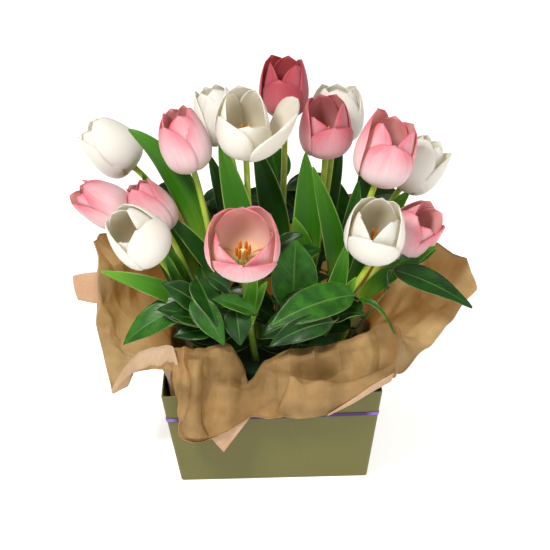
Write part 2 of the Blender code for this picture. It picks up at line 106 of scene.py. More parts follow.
# height: above the foam, where the blade leaves its stem. rise: how far it follows the stem, 0 to 1.
# look: which of the blade finishes it wears. A tulip's first blade stands for its CAD leaf.
# The second look is a darker copy of the green, painted shade, and the third a lighter lime copy, painted
# light.
MID, PAINTED_SHADE, PAINTED_LIGHT = range(3)
TulipBlade = namedtuple("TulipBlade", "tulip height tip width rise look twist face", defaults=(0, FRONT))
TULIP_BLADES = [TulipBlade(*row) for row in (
    (1, 40, (-10, 24, 290), 26, 0.40, PAINTED_SHADE, 10),
    (2, 30, (-42, -8, 303), 27, 0.40, MID, -12),
    (3, 30, (-54, 62, 268), 20, 0.40, PAINTED_SHADE, 0, BACK),
    (4, 30, (-126, 26, 306), 26, 0.72, MID, 0, BACK),
    (5, 30, (-116, 30, 262), 22, 0.36, MID, 8),
    (6, 20, (-110, 22, 196), 14, 0.25, PAINTED_SHADE, 0, BACK),
    (7, 25, (-92, -26, 208), 14, 0.25, PAINTED_SHADE),
    (8, 54, (-148, -88, 211), 18, 0.22, PAINTED_LIGHT),
    (9, 45, (-2, -74, 192), 12, 0.30, PAINTED_LIGHT),
    (10, 40, (36, -18, 294), 26, 0.40, MID, 10),
    (11, 30, (72, 66, 272), 22, 0.40, PAINTED_SHADE, 0, BACK),
    (12, 50, (42, -39, 287), 20, 0.25, MID, 14),
    (13, 30, (90, 34, 270), 22, 0.40, PAINTED_SHADE, -10),
    (14, 20, (72, -44, 216), 18, 0.30, MID),
    (15, 40, (154, -28, 204), 17, 0.25, MID),
    (14, 42, (78, -70, 192), 14, 0.20, PAINTED_LIGHT),
    (7, 55, (-94, -52, 226), 8, 0.20, PAINTED_LIGHT),
    (8, 80, (-93, -62, 220), 8, 0.20, MID),
    (10, 75, (24, -18, 232), 18, 0.20, PAINTED_LIGHT),
    (13, 95, (134, 26, 240), 16, 0.20, PAINTED_LIGHT),
    (9, 50, (-11, -88, 208), 12, 0.25, PAINTED_LIGHT),
    (4, 60, (-96, -4, 236), 16, 0.30, PAINTED_SHADE),
    (12, 60, (84, -8, 262), 18, 0.30, PAINTED_SHADE, 6),
)]

# start: share of the sprig where the leaf's stalk leaves it. foot, tip: ends of its blade.
# arch: how far its middle stands above the line between them. fillers: how many more small leaves
# it may carry.
Leaf = namedtuple("Leaf", "start foot tip width face arch")
Sprig = namedtuple("Sprig", "top fillers leaves")
SPRIGS = {
    "salal_front_right": Sprig((70, -76, 172), 19, [
        Leaf(0.98, (76, -78, 178), (0, -98, 158), 34, (0.1, -0.8, 0.9), 7),
        Leaf(0.80, (56, -96, 160), (-1, -108, 143), 22, (0.1, -0.9, 0.6), 6),
        Leaf(0.90, (79, -72, 170), (111, -100, 149), 5, (0.3, -0.6, 0.8), 15),
    ]),
    "salal_front_left": Sprig((-52, -82, 170), 16, [
        Leaf(0.98, (-64, -74, 196), (-47, -101, 161), 28, (0.5, -0.9, 0.5), 5),
        Leaf(0.80, (-68, -84, 180), (-41, -109, 146), 24, (0.1, -1.0, 0.4), 4),
        Leaf(0.60, (-30, -84, 169), (-27, -101, 142), 26, (0.0, -1.0, 0.4), 4),
        Leaf(0.92, (-14, -88, 168), (-50, -100, 187), 16, (0.1, -0.7, 0.9), 3),
        Leaf(0.95, (-36, -82, 188), (-56, -90, 205), 14, (0.2, -0.9, 0.5), 3),
    ]),
    "salal_left": Sprig((-84, -46, 146), 14, [
        Leaf(0.95, (-68, -66, 168), (-134, -71, 132), 30, (-0.1, -0.7, 0.8), 9),
        Leaf(0.90, (-67, -52, 176), (-102, -52, 166), 13, (-0.2, -0.6, 0.8), 3),
    ]),
    "salal_right": Sprig((110, -46, 172), 12, [
        Leaf(0.97, (113, -50, 190), (184, -62, 156), 26, (0.3, -0.6, 0.8), 6),
        Leaf(0.90, (120, -34, 190), (155, -8, 192), 16, (0.2, -0.8, 0.5), 2),
    ]),
    "salal_centre": Sprig((12, -48, 196), 18, [
        Leaf(0.60, (21, -66, 160), (25, -50, 222), 42, (0.1, -1.0, 0.2), 4),
        Leaf(0.97, (8, -30, 208), (32, -30, 219), 13, (0.1, -0.8, 0.6), 2),
    ]),
    "salal_back_left": Sprig((-70, 82, 214), 12, [
        Leaf(0.95, (-74, 80, 216), (-112, 88, 222), 30, (-0.2, 0.8, 0.5), 5),
        Leaf(0.60, (-52, 78, 190), (-30, 92, 226), 28, (0.2, 0.9, 0.3), 4),
    ]),
    "salal_back_middle": Sprig((14, 84, 226), 12, [
        Leaf(0.97, (12, 86, 230), (2, 92, 268), 30, (0.0, 1.0, 0.2), 3),
        Leaf(0.55, (14, 82, 190), (36, 90, 208), 26, (0.2, 0.9, 0.4), 4),
    ]),
    "salal_back_right": Sprig((86, 80, 206), 12, [
        Leaf(0.95, (90, 82, 208), (128, 84, 214), 30, (0.2, 0.8, 0.5), 5),
        Leaf(0.55, (68, 80, 180), (70, 92, 226), 24, (0.0, 0.9, 0.3), 4),
    ]),
}

# Petals 0, 2 and 4 are the outer whorl and 1, 3 and 5 the inner one, each 60 degrees further round.
# turn: where petal 0 faces, from the front and counted towards +X. depth: how strong the pink is.
# spread and height change single petals: a wider top as a share of the radius, a share of the length.
BloomLook = namedtuple("BloomLook", "turn depth spread height")
BLOOM_LOOKS = {number: BloomLook(*row) for number, row in enumerate((
    # Bloom 1's strong depth is partly its deeper pink and partly painted shade, for petals in shadow.
    (-15, 0.88, {0: -0.10}, {0: 0.84, 5: 0.97}),
    (-48, 0.00, {2: 1.10, 0: -0.10, 3: -0.10, 4: -0.08, 5: -0.10}, {0: 0.86, 1: 0.80, 2: 0.90}),
    (20, 0.00, {1: 0.10}, {1: 0.95}),
    (-50, 0.18, {1: 0.05}, {0: 0.93, 2: 1.03}),
    (35, 0.00, {0: 0.16, 5: 0.10}, {0: 1.02}),
    (35, 0.25, {3: 0.15}, {3: 1.04}),
    (-30, 0.22, {}, {}),
    (12, 0.00, {0: 0.05}, {0: 0.86, 5: 0.84}),
    (0, 0.08, {0: 0.02, 2: 0.06, 4: 0.06}, {0: 0.80, 1: 0.88, 5: 0.88}),
    (20, 0.55, {0: 0.05}, {0: 0.80, 5: 0.86}),
    (0, 0.00, {2: 0.12}, {}),
    (12, 0.10, {4: 0.20}, {0: 0.86, 4: 1.04}),
    (-20, 0.00, {2: 0.20}, {}),
    (-8, 0.00, {0: -0.05, 1: -0.08, 5: -0.08, 3: -0.06}, {0: 0.80, 1: 0.97, 5: 0.92}),
    (-25, 0.10, {0: -0.05}, {0: 0.93, 1: 0.97}),
), 1)}

# ---- the kraft sheet
# It lies corner to the front, so its corners stand out at the front, sides and back. Each row is one
# crease: its ridge above the rim, its outer edge, how deep the valley after it is, how high the edge
# turns back up to show the sheet's pale side, and, where it has them, the brow where it turns down
# and the dip behind that brow.
Crease = namedtuple("Crease", "ridge edge valley hem brow dip", defaults=(0, None, None))
WRAP_CREASES = [Crease(*row) for row in (
    ((-6, -91, 122), (-4, -114, 75), 5, 1, (-6, -111, 112)),
    ((17, -89, 135), (17, -111, 76), 5, 1, (17, -108, 108), (17, -101, 110)),
    ((38, -89, 138), (40, -111, 77), 6, 1, (42, -108, 104), (41, -101, 110)),
    ((60, -89, 142), (62, -111, 86), 4, 1, (64, -108, 106), (63, -103, 116)),
    ((86, -89, 143), (86, -110, 102), 6, 1, (86, -107, 114), (90, -102, 124)),
    ((108, -84, 148), (107, -106, 108), 5, 8, (110, -100, 126)),
    ((116, -56, 120), (119, -78, 104), 3),
    ((125, -30, 112), (153, -40, 119), 3),
    ((140, -8, 120), (192, -12, 152), 5),
    ((140, 15, 130), (184, 18, 174), 5),
    ((126, 36, 132), (160, 44, 180), 6),
    ((112, 62, 132), (132, 78, 188), 6),
    ((97, 93, 134), (109, 99, 198), 5),
    ((74, 98, 140), (84, 107, 206), 6),
    ((28, 98, 140), (30, 107, 204), 7),
    ((-28, 98, 142), (-30, 108, 210), 6),
    ((-74, 98, 142), (-84, 106, 206), 5),
    ((-97, 93, 136), (-109, 98, 198), 5),
    ((-112, 62, 136), (-130, 76, 196), 6),
    ((-126, 36, 138), (-156, 40, 200), 6),
    ((-134, 14, 134), (-160, 18, 200), 5),
    ((-138, -6, 126), (-160, -4, 172), 5),
    ((-128, -28, 112), (-159, -24, 134), 3),
    ((-116, -50, 108), (-149, -50, 93), 3, 1),
    ((-108, -72, 116), (-118, -84, 111), 3, 20),
    ((-92, -86, 129), (-90, -104, 119), 2, 24),
    ((-85, -91, 134), (-85, -112, 98), 2, 0, (-83, -108, 122)),
    ((-77, -93, 138), (-83, -115, 61), 4, 0, (-76, -112, 122)),
    ((-66, -90, 137), (-72, -117, 55), 4, 0, (-67, -115, 104), (-66, -104, 122)),
    ((-54, -89, 136), (-58, -114, 56), 3, 0, (-56, -108, 98), (-55, -99, 106)),
    ((-38, -90, 135), (-42, -116, 64), 4, 0, (-38, -115, 105), (-38, -102, 106)),
    ((-22, -94, 101), (-20, -114, 79), 3, 0, (-20, -108, 97)),
)]

# Turned-over corners of the sheet: how far each patch is rounded, and its four corners in order.
TURNED_CORNERS = {
    "kraft_corner_front": (0.0, [(-57, -113, 58), (-45, -113.5, 42), (-19, -112, 77), (-40, -111, 72)]),
    "kraft_corner_left": (0.3, [(-185, 1, 173), (-181, -2, 148), (-152, 0, 142), (-155, 2, 176)]),
}

# Loose layers of the sheet that lie over its front, as pairs of points: one on their free edge and
# one on the edge opposite. bulge: how far the layer stands out between them. pale: whether it shows
# the sheet's back.
Layer = namedtuple("Layer", "bulge pale pairs")
LOOSE_LAYERS = {
    "kraft_layer_right": Layer(4.5, False, [
        ((7, -112, 90), (5, -112, 77)),
        ((13, -116, 104), (14, -113, 75)),
        ((18, -119, 119), (24, -114, 74)),
        ((29, -116, 110), (36, -114, 75)),
        ((43, -117, 113), (50, -115, 78)),
        ((60, -116, 110), (62, -115, 84)),
        ((74, -115, 111), (74, -115, 91)),
        ((90, -113, 117), (88, -114, 100)),
        ((110, -108, 124), (106, -109, 108)),
    ]),
    "kraft_layer_left": Layer(9.0, False, [
        ((-60, -106, 134), (-74, -106, 132)),
        ((-61, -111, 124), (-75, -109, 122)),
        ((-62, -113, 108), (-77, -110, 106)),
        ((-63, -114, 90), (-81, -111, 88)),
        ((-63, -115, 74), (-84, -112, 72)),
        ((-58, -116, 60), (-80, -113, 58)),
    ]),
    "kraft_hem_front": Layer(0.6, True, [
        ((50, -117, 79), (49, -116.4, 77)),
        ((63, -117.8, 88), (62, -116.6, 83.5)),
        ((76, -118, 97), (75, -116.4, 90.5)),
        ((90, -117, 107), (89, -115.2, 99)),
        ((110, -113.2, 117), (107, -110.4, 107)),
    ]),
}


# ---- shader nodes
def tone(red, green, blue):
    """A colour picked as 0 to 255 display values, as linear RGBA."""
    shares = [value / 255 for value in (red, green, blue)]
    linear = [s / 12.92 if s <= 0.04045 else ((s + 0.055) / 1.055) ** 2.4 for s in shares]
    return (*linear, 1.0)


WHITE = tone(255, 255, 255)


class Signal:
    """One output of a finish's nodes, which adds, subtracts and multiplies like a number."""

    def __init__(self, finish, socket):
        self.finish = finish
        self.socket = socket

    def __add__(self, other):
        return self.finish.number("ADD", self, other)

    def __sub__(self, other):
        return self.finish.number("SUBTRACT", self, other)

    def __mul__(self, other):
        return self.finish.number("MULTIPLY", self, other)

    def __abs__(self):
        return self.finish.number("ABSOLUTE", self)


class Finish:
    """One procedural material, with short ways to add linked nodes to it."""

    def __init__(self, name, roughness=0.5):
        self.material = bpy.data.materials.new(name)
        self.material.use_nodes = True
        self.tree = self.material.node_tree
        self.shader = self.tree.nodes["Principled BSDF"]
        self.set("Roughness", roughness)

    def set(self, socket, value):
        self.feed(self.shader.inputs[socket], value)

    def feed(self, socket, value):
        if isinstance(value, Signal):
            self.tree.links.new(value.socket, socket)
        else:
            socket.default_value = value

    def node(self, kind, inputs=(), output=0, **settings):
        """Adds a node and returns one of its outputs."""
        made = self.tree.nodes.new(kind)
        for name, value in settings.items():
            setattr(made, name, value)
        for key, value in dict(inputs).items():
            self.feed(made.inputs[key], value)
        return Signal(self, made.outputs[output])

    def number(self, operation, *values):
        return self.node("ShaderNodeMath", enumerate(values), operation=operation)

    def ease(self, value, low, high):
        """0 below low, 1 above high and smooth between."""
        inputs = {"Value": value, "From Min": low, "From Max": high}
        return self.node("ShaderNodeMapRange", inputs, "Result", interpolation_type="SMOOTHSTEP")

    def blend(self, share, first, second, how="MIX"):
        inputs = {0: share, 6: first, 7: second}
        return self.node("ShaderNodeMix", inputs, 2, data_type="RGBA", blend_type=how)

    def place(self):
        """Object coordinates in metres."""
        return self.node("ShaderNodeTexCoord", output="Object")

    def drawn_out(self, across, deep, high):
        """Object coordinates scaled apart, for fibres and threads."""
        return self.node("ShaderNodeMapping", {"Vector": self.place(), "Scale": (across, deep, high)})

    def sheet_place(self):
        """The sheet's own (across, along) as two signals, each 0 to 1."""
        uv = self.node("ShaderNodeUVMap", output="UV", uv_map="UVMap")
        return [self.node("ShaderNodeSeparateXYZ", {0: uv}, axis) for axis in (0, 1)]

    def noise(self, scale, detail=3.0, roughness=0.55, place=None):
        inputs = {"Vector": place or self.place(), "Scale": scale, "Detail": detail, "Roughness": roughness}
        return self.node("ShaderNodeTexNoise", inputs, "Fac")

    def streaks(self, across, along, seed=0.0, detail=3.0, roughness=0.55):
        """Noise over the sheet's own coordinates, scaled apart."""
        place = self.node("ShaderNodeCombineXYZ", {0: across, 1: along, 2: seed})
        return self.noise(1.0, detail, roughness, place)

    def shaded(self, colour, share, light, shade):
        """The colour multiplied, by this share, with a shade that fades to white where it is light."""
        return self.blend(share, colour, self.blend(light, shade, WHITE), "MULTIPLY")

    def done(self, colour, height, strength, distance, glow=None, glow_share=0.0):
        """The material in this colour, with bumps and, for a thin sheet, light shining through it."""
        self.set("Base Color", colour)
        inputs = {"Height": height, "Strength": strength, "Distance": distance}
        self.set("Normal", self.node("ShaderNodeBump", inputs))
        if glow:
            thin = self.node("ShaderNodeBsdfTranslucent", {"Color": glow})
            solid = Signal(self, self.shader.outputs[0])
            mix = self.node("ShaderNodeMixShader", {0: glow_share, 1: solid, 2: thin})
            self.feed(self.tree.nodes["Material Output"].inputs["Surface"], mix)
        return self.material


def card_finish():
    """Olive card: cloudy tone, fine upright fibres and rubbed, paler folds."""
    finish = Finish("olive_card_finish")
    fibre = finish.noise(900.0, 3.0, 0.7, finish.drawn_out(1.0, 1.0, 2.6))
    colour = finish.blend(finish.noise(9.0, 2.0), tone(93, 89, 36), tone(102, 98, 43))
    colour = finish.blend(finish.ease(fibre, 0.35, 0.75), colour, tone(88, 85, 34))
    soft = finish.node("ShaderNodeBevel", {"Radius": 0.0012}, samples=4)
    sharp = finish.node("ShaderNodeNewGeometry", output="True Normal")
    turned = finish.node("ShaderNodeVectorMath", {0: soft, 1: sharp}, "Value", operation="DOT_PRODUCT")
    fold = finish.ease(turned, 0.995, 0.86)
    finish.set("Roughness", fibre * 0.2 + 0.5)
    return finish.done(finish.blend(fold * 0.45, colour, tone(150, 146, 96)), fibre, 0.12, 0.0003)


def board_finish():
    """Grey board: pulped fibres with a few dark specks."""
    finish = Finish("grey_board_finish", 0.85)
    fleck = finish.noise(420.0, 4.0, 0.75)
    colour = finish.blend(finish.ease(fleck, 0.3, 0.7), tone(150, 128, 100), tone(172, 152, 124))
    speck = finish.ease(finish.noise(1400.0, 1.0), 0.66, 0.74)
    return finish.done(finish.blend(speck, colour, tone(96, 78, 58)), fleck, 0.3, 0.0004)


def ribbon_finish():
    """Satin ribbon: fine cross ribs, a soft sheen and a paler lilac near the box's corners that is a
    painted highlight.
    """
    finish = Finish("satin_ribbon_finish", 0.33)
    across, deep = [abs(finish.node("ShaderNodeSeparateXYZ", {0: finish.place()}, axis)) for axis in (0, 1)]
    half = BOX_TOP_HALF * MM
    # painted highlight: a paler lilac where the ribbon turns round the box's corners
    corner = finish.ease(finish.number("MINIMUM", across, deep), half * 0.84, half * 0.93)
    rib = finish.number("SINE", (across + deep) * 9000.0)
    thread = finish.noise(260.0, 3.0, place=finish.drawn_out(1.0, 1.0, 14.0))
    colour = finish.blend(thread, tone(56, 24, 80), tone(74, 38, 100))
    finish.set("Specular IOR Level", 0.3)
    finish.set("Sheen Weight", 0.06)
    finish.set("Sheen Tint", tone(200, 170, 240))
    # mix in the painted highlight near the corners
    colour = finish.blend(corner, colour, tone(132, 102, 180))
    return finish.done(colour, thread + rib * 0.3, 0.25, 0.0002)


def kraft_finish(name, dark, light, through):
    """Kraft paper: long fibres, cloudy tone and rubbed flecks; light glows warm through it."""
    finish = Finish(name)
    cloud = finish.noise(26.0, 4.0, 0.6)
    fibre = finish.noise(520.0, 5.0, 0.75, finish.drawn_out(1.0, 2.2, 0.5))
    colour = finish.blend(finish.ease(cloud, 0.3, 0.7), dark, light)
    colour = finish.shaded(colour, 0.75, finish.ease(fibre, 0.25, 0.8), tone(226, 214, 196))
    finish.set("Roughness", cloud * 0.25 + 0.52)
    rough = finish.noise(130.0, 4.0, 0.6) + fibre * 0.25
    return finish.done(colour, rough, 0.5, 0.0011, through, 0.44)


def tray_finish():
    """Dark green moulded plastic with a faint mottle."""
    finish = Finish("liner_tray_finish")
    mottle = finish.noise(60.0)
    finish.set("Roughness", mottle * 0.2 + 0.3)
    colour = finish.blend(mottle, tone(20, 44, 26), tone(34, 62, 38))
    return finish.done(colour, finish.noise(800.0, 2.0), 0.1, 0.0003)


def foam_finish():
    """Wet green foam with open cells."""
    finish = Finish("floral_foam_finish", 0.95)
    cell = finish.node("ShaderNodeTexVoronoi", {"Vector": finish.place(), "Scale": 900.0})
    colour = finish.blend(finish.noise(40.0), tone(28, 72, 34), tone(46, 98, 48))
    colour = finish.blend(finish.ease(cell, 0.2, 0.7), colour, tone(20, 50, 26))
    return finish.done(colour, cell, 0.5, 0.0006)


def grain_finish(name, roughness, scale, strength, dark, light):
    """A rough little part of a flower's heart, two tones mixed by its grain."""
    finish = Finish(name, roughness)
    grain = finish.noise(scale)
    return finish.done(finish.blend(grain, dark, light), grain, strength, 0.0004)


def stem_finish():
    """Tulip stem: green at its foot and lime under its bloom, with fine streaks."""
    finish = Finish("tulip_stem_finish", 0.36)
    across, along = finish.sheet_place()
    streak = finish.streaks(across * 40.0, along * 3.0)
    colour = finish.blend(finish.ease(along, 0.2, 0.8), tone(120, 164, 44), tone(202, 216, 74))
    colour = finish.blend(finish.ease(finish.noise(55.0, 2.0), 0.4, 0.75), colour, tone(164, 196, 78))
    colour = finish.shaded(colour, 0.8, streak, tone(214, 224, 190))
    return finish.done(colour, streak, 0.12, 0.0005, tone(190, 220, 70), 0.12)


def blade_finish(name, foot, body, tip, seed):
    """Tulip leaf: waxy green with fine parallel veins and a lime margin."""
    finish = Finish(name)
    across, along = finish.sheet_place()
    streak = finish.streaks(across * 46.0, along * 1.6, seed)
    vein = finish.number("SINE", across * 150.0)
    colour = finish.blend(finish.ease(along, 0.0, 0.42), foot, body)
    colour = finish.blend(finish.ease(along, 0.55, 1.0), colour, tip)
    colour = finish.shaded(colour, 0.8, finish.ease(streak, 0.3, 0.7), tone(190, 206, 178))
    colour = finish.blend(finish.ease(abs(across - 0.5), 0.46, 0.5), colour, tone(150, 186, 92))
    finish.set("Roughness", streak * 0.25 + 0.3)
    finish.set("Specular IOR Level", 0.3)
    glow = finish.blend(0.5, colour, tone(150, 200, 30))
    return finish.done(colour, streak + vein * 0.12, 0.22, 0.0006, glow, 0.22)


def salal_finish(name, dark, light):
    """Salal leaf: leathery and glossy, with a pale midrib, side veins and a pale toothed edge."""
    finish = Finish(name, 0.34)
    across, along = finish.sheet_place()
    from_rib = abs(across - 0.5)
    phase = finish.number("FRACT", along * 13.0 - from_rib * 7.0)
    side_vein = finish.ease(abs(phase - 0.5), 0.09, 0.0)
    mottle = finish.noise(90.0)
    colour = finish.blend(finish.ease(mottle, 0.3, 0.7), dark, light)
    colour = finish.blend(side_vein * 0.30, colour, tone(60, 112, 24))
    colour = finish.blend(finish.ease(from_rib, 0.035, 0.012) * 0.5, colour, tone(100, 140, 62))
    edge = finish.ease(from_rib, 0.484, 0.498) * 0.6
    colour = finish.blend(edge, colour, tone(140, 160, 86))
    finish.set("Specular IOR Level", 0.3)
    return finish.done(colour, mottle * 0.3 - side_vein, 0.35, 0.0005, tone(90, 165, 16), 0.10)


def twig_finish():
    """Salal twig: brown bark that turns green towards its tip."""
    finish = Finish("salal_twig_finish", 0.55)
    across, along = finish.sheet_place()
    bark = finish.streaks(across * 18.0, along * 40.0)
    colour = finish.blend(finish.ease(along, 0.5, 1.0), tone(58, 78, 30), tone(116, 80, 44))
    return finish.done(finish.blend(bark, colour, tone(60, 92, 30)), bark, 0.3, 0.0005)


def petal_finish(name, foot, pale, strong, seed, veins):
    """Petal: pale at its foot and middle, stronger at its top and margins, with lengthwise veins."""
    finish = Finish(name, 0.46)
    across, along = finish.sheet_place()
    margin = finish.ease(abs(across - 0.5), 0.10, 0.50)
    streak = finish.streaks(across * 34.0, along * 1.4, seed, 4.0, 0.6)
    cloud = finish.streaks(across * 3.0, along * 3.0, seed, 2.0)
    flush = margin * finish.ease(along, 0.30, 0.85)
    share = flush * 0.30 + finish.ease(along, 0.46, 1.0) * 0.62
    share = share + ((streak - 0.5) * (0.7 * veins) + (cloud - 0.5) * 0.5)
    share = finish.number("MINIMUM", finish.number("MAXIMUM", share, 0.0), 1.0)
    colour = finish.blend(share, pale, strong)
    colour = finish.blend(finish.ease(along, 0.50, 0.10), colour, foot)
    colour = finish.blend(finish.ease(along, 0.10, 0.02), colour, tone(204, 206, 120))
    finish.set("Sheen Weight", 0.15)
    return finish.done(colour, streak, 0.20 * veins, 0.0006, finish.blend(0.6, colour, foot), 0.36)


# Petal tones: foot, middle and margin of the outside, then of the inside. A pink bloom's depth mixes
# the deep tones into the pale ones.
PETAL_TONES = {
    "white": (((246, 244, 224), (252, 250, 245), (242, 239, 232)),
              ((226, 216, 168), (242, 236, 218), (248, 245, 237))),
    "pale": (((252, 248, 226), (255, 246, 249), (238, 102, 132)),
             ((248, 214, 158), (254, 222, 216), (248, 164, 172))),
    "deep": (((214, 176, 150), (222, 92, 110), (178, 26, 50)),
             ((190, 100, 66), (206, 70, 74), (186, 36, 54))),
}
WHITE_VEINS = 0.45  # strength of a white petal's veins beside a pink one's


def mixed(first, second, share):
    """A colour part of the way from the first to the second."""
    return tuple(a + (b - a) * share for a, b in zip(tone(*first), tone(*second)))


def bloom_finishes(number):
    """The outer and inner finish of one bloom's petals."""
    kind, veins = ("pale", 1.0) if number in PINK else ("white", WHITE_VEINS)
    finishes = []
    for order, side in enumerate(("outside", "inside")):
        pairs = zip(PETAL_TONES[kind][order], PETAL_TONES["deep"][order])
        colours = [mixed(first, deep, BLOOM_LOOKS[number].depth) for first, deep in pairs]
        seed = 3.7 * number + 1.9 * order
        finishes.append(petal_finish(f"petal_{number:02d}_{side}", *colours, seed, veins))
    return finishes


# ---- curve and mesh helpers
def bezier(start, lead, follow, end, share):
    """Point of a cubic Bezier curve at this share of its way."""
    rest = 1.0 - share
    return (
        start * rest**3
        + lead * 3 * rest**2 * share
        + follow * 3 * rest * share**2
        + end * share**3
    )


def curve_through(before, here, after, beyond, share):
    """Point between here and after on a smooth curve through all four."""
    return 0.5 * (
        2 * here
        + (after - before) * share
        + (2 * before - 5 * here + 4 * after - beyond) * share**2
        + (3 * here - before - 3 * after + beyond) * share**3
    )


def smooth(value, low, high):
    """0 below low, 1 above high and smooth between."""
    share = min(max((value - low) / (high - low), 0.0), 1.0)
    return share * share * (3.0 - 2.0 * share)


def around(axes, angle):
    """The direction at this angle in radians from the first axis towards the second."""
    return axes[0] * math.cos(angle) + axes[1] * math.sin(angle)


def uv_layer(work):
    return work.loops.layers.uv.get("UVMap") or work.loops.layers.uv.new("UVMap")


def add_face(work, layer, points, places, slot=0):
    """Adds a face between a bmesh's points, with their places on the sheet as UVs."""
    face = work.faces.new(points)
    face.material_index = slot
    for loop, place in zip(face.loops, places):
        loop[layer].uv = place
    return face


def add_skin(work, grid, slot=0):
    """Adds smooth faces over a grid of a bmesh's points, their UVs 0 to 1 across and along."""
    layer = uv_layer(work)
    across, along = len(grid[0]) - 1, len(grid) - 1
    for j in range(along):
        for i in range(across):
            steps = ((i, j), (i + 1, j), (i + 1, j + 1), (i, j + 1))
            places = [(a / across, b / along) for a, b in steps]
            add_face(work, layer, [grid[b][a] for a, b in steps], places, slot).smooth = True


def add_sheet(work, rows):
    """Adds a sheet through a grid of points in mm."""
    grid = [[work.verts.new(Vector(point) * MM) for point in row] for row in rows]
    add_skin(work, grid)
    return grid


def add_tube(work, points, radii, sides, slot=0):
    """Adds a closed round tube through points in mm, with the given radius at each."""
    rings = []
    side = Vector((1.0, 0.0, 0.0))
    last = len(points) - 1
    for index, (point, radius) in enumerate(zip(points, radii)):
        ahead = (points[min(index + 1, last)] - points[max(index - 1, 0)]).normalized()
        side = (side - ahead * side.dot(ahead)).normalized()
        axes = (side, ahead.cross(side))
        turns = [2 * math.pi * step / sides for step in range(sides)]
        rings.append([work.verts.new((point + around(axes, turn) * radius) * MM) for turn in turns])
    add_skin(work, [ring + ring[:1] for ring in rings], slot)
    for ring, share in ((rings[0][::-1], 0.0), (rings[-1], 1.0)):
        add_face(work, uv_layer(work), ring, [(0.5, share)] * sides, slot)


def add_object(name, data):
    thing = bpy.data.objects.new(name, data)
    bpy.context.scene.collection.objects.link(thing)
    return thing


def add_mesh(work, name, materials):
    """Turns a bmesh into an object."""
    mesh = bpy.data.meshes.new(name)
    work.to_mesh(mesh)
    work.free()
    for material in materials:
        mesh.materials.append(material)
    return add_object(name, mesh)


def finished(work, name, materials, body, slot):
    """Turns a bmesh into a piece that rides on a body."""
    piece = add_mesh(work, name, materials)
    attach(piece, body)
    return piece


def thicken(piece, thickness, offset=0.0, back=0):
    modifier = piece.modifiers.new("thickness", "SOLIDIFY")
    modifier.thickness = thickness * MM
    modifier.offset = offset
    modifier.material_offset = back


def sheet_piece(name, sheets, materials, body, slot, thickness, offset=0.0, back=0):
    """A piece made of thin sheets, each a grid of points."""
    work = bmesh.new()
    for rows in sheets:
        add_sheet(work, rows)
    piece = finished(work, name, materials, body, slot)
    thicken(piece, thickness, offset, back)
    return piece


# ---- stems
def entry_point(body):
    """Where a plant's stem enters the foam."""
    direction = DRAW[body]
    flat = Vector((direction.x, direction.y, 0.0)) / direction.z * FAN_FOCUS
    return flat + UP * FOAM_TOP


def stem_curve(body, end, arrival):
    """A function of 0 to 1 along the stem above the foam, leaving along its hole."""
    start = entry_point(body)
    reach = (end - start).length
    lead = start + DRAW[body] * reach * STEM_LEAD
    follow = end - arrival * reach * STEM_FOLLOW
    return lambda share: bezier(start, lead, follow, end, share)


def stem_points(body, path, steps):
    """A stem's centre line, from the bottom of its hole to its top."""
    bottom = entry_point(body) - DRAW[body] * BURIED
    return [bottom] + [path(step / steps) for step in range(steps + 1)]


# ---- blooms
Bloom = namedtuple("Bloom", "base axis length radius mouth")

PETAL_COLUMNS = 14
PETAL_ROWS = 18
PETAL_HALF_ANGLE = 66.0
PETAL_FOOT = 0.42  # width of a petal's foot as a share of its widest
PETAL_THICK = 0.7
PETAL_OVERLAP = 0.035  # one margin stands out this share of the radius and the other lies in
PETAL_GROOVE = 0.8  # depth of the groove down its middle
PETAL_RIDGES = 0.25  # height of the lengthwise ridges beside it
PETAL_LEAST = 0.5  # half width of its very tip
INNER_WHORL = 0.87  # size of the inner whorl beside the outer one
STAMENS = 6
STAMEN_RING = 5.4
FILAMENT_HEIGHT = 10.0
ANTHER_LENGTH = 15.0
PISTIL_HEIGHT = 17.0


def tulip_body(number):
    return f"tulip_{number:02d}"


def petal_slot(number):
    return "pink_petal" if number in PINK else "white_petal"


def read_bloom(number):
    """Base, axis, length, widest radius and mouth radius of a CAD bloom, from its turned mesh."""
    mesh = frame["nodes"][tulip_body(number) + "_bloom"].data
    points = np.unique(np.round([vertex.co / MM for vertex in mesh.vertices], 2), axis=0)
    centre = points.mean(axis=0)
    values, vectors = np.linalg.eigh(np.cov((points - centre).T))
    lone = 2 if values[2] - values[1] > values[1] - values[0] else 0
    axis = Vector(vectors[:, lone]).normalized()
    if axis.dot(DRAW[tulip_body(number)]) < 0:
        axis.negate()
    heights = (points - centre) @ np.array(axis)
    reaches = np.linalg.norm(points - centre - np.outer(heights, axis), axis=1)
    length = heights.max() - heights.min()
    base = Vector(centre) + axis * heights.min()
    mouth = reaches[heights > heights.max() - 0.02 * length].max()
    return Bloom(base, axis, length, reaches.max(), mouth)


def bloom_axes(bloom):
    """The directions across a bloom that face the front and, beside it, +X."""
    ahead = Vector((0.0, -1.0, 0.4))
    forward = (ahead - bloom.axis * ahead.dot(bloom.axis)).normalized()
    return forward, bloom.axis.cross(forward)


def petal_width(share):
    """Width along a petal as a share of its widest: narrow foot, full middle and a rounded point."""
    foot = PETAL_FOOT + (1.0 - PETAL_FOOT) * smooth(share, 0.0, 0.42)
    beyond = max(0.0, (share - 0.52) / 0.48)
    return foot * max(1.0 - beyond**2.7, 0.0) ** 0.54


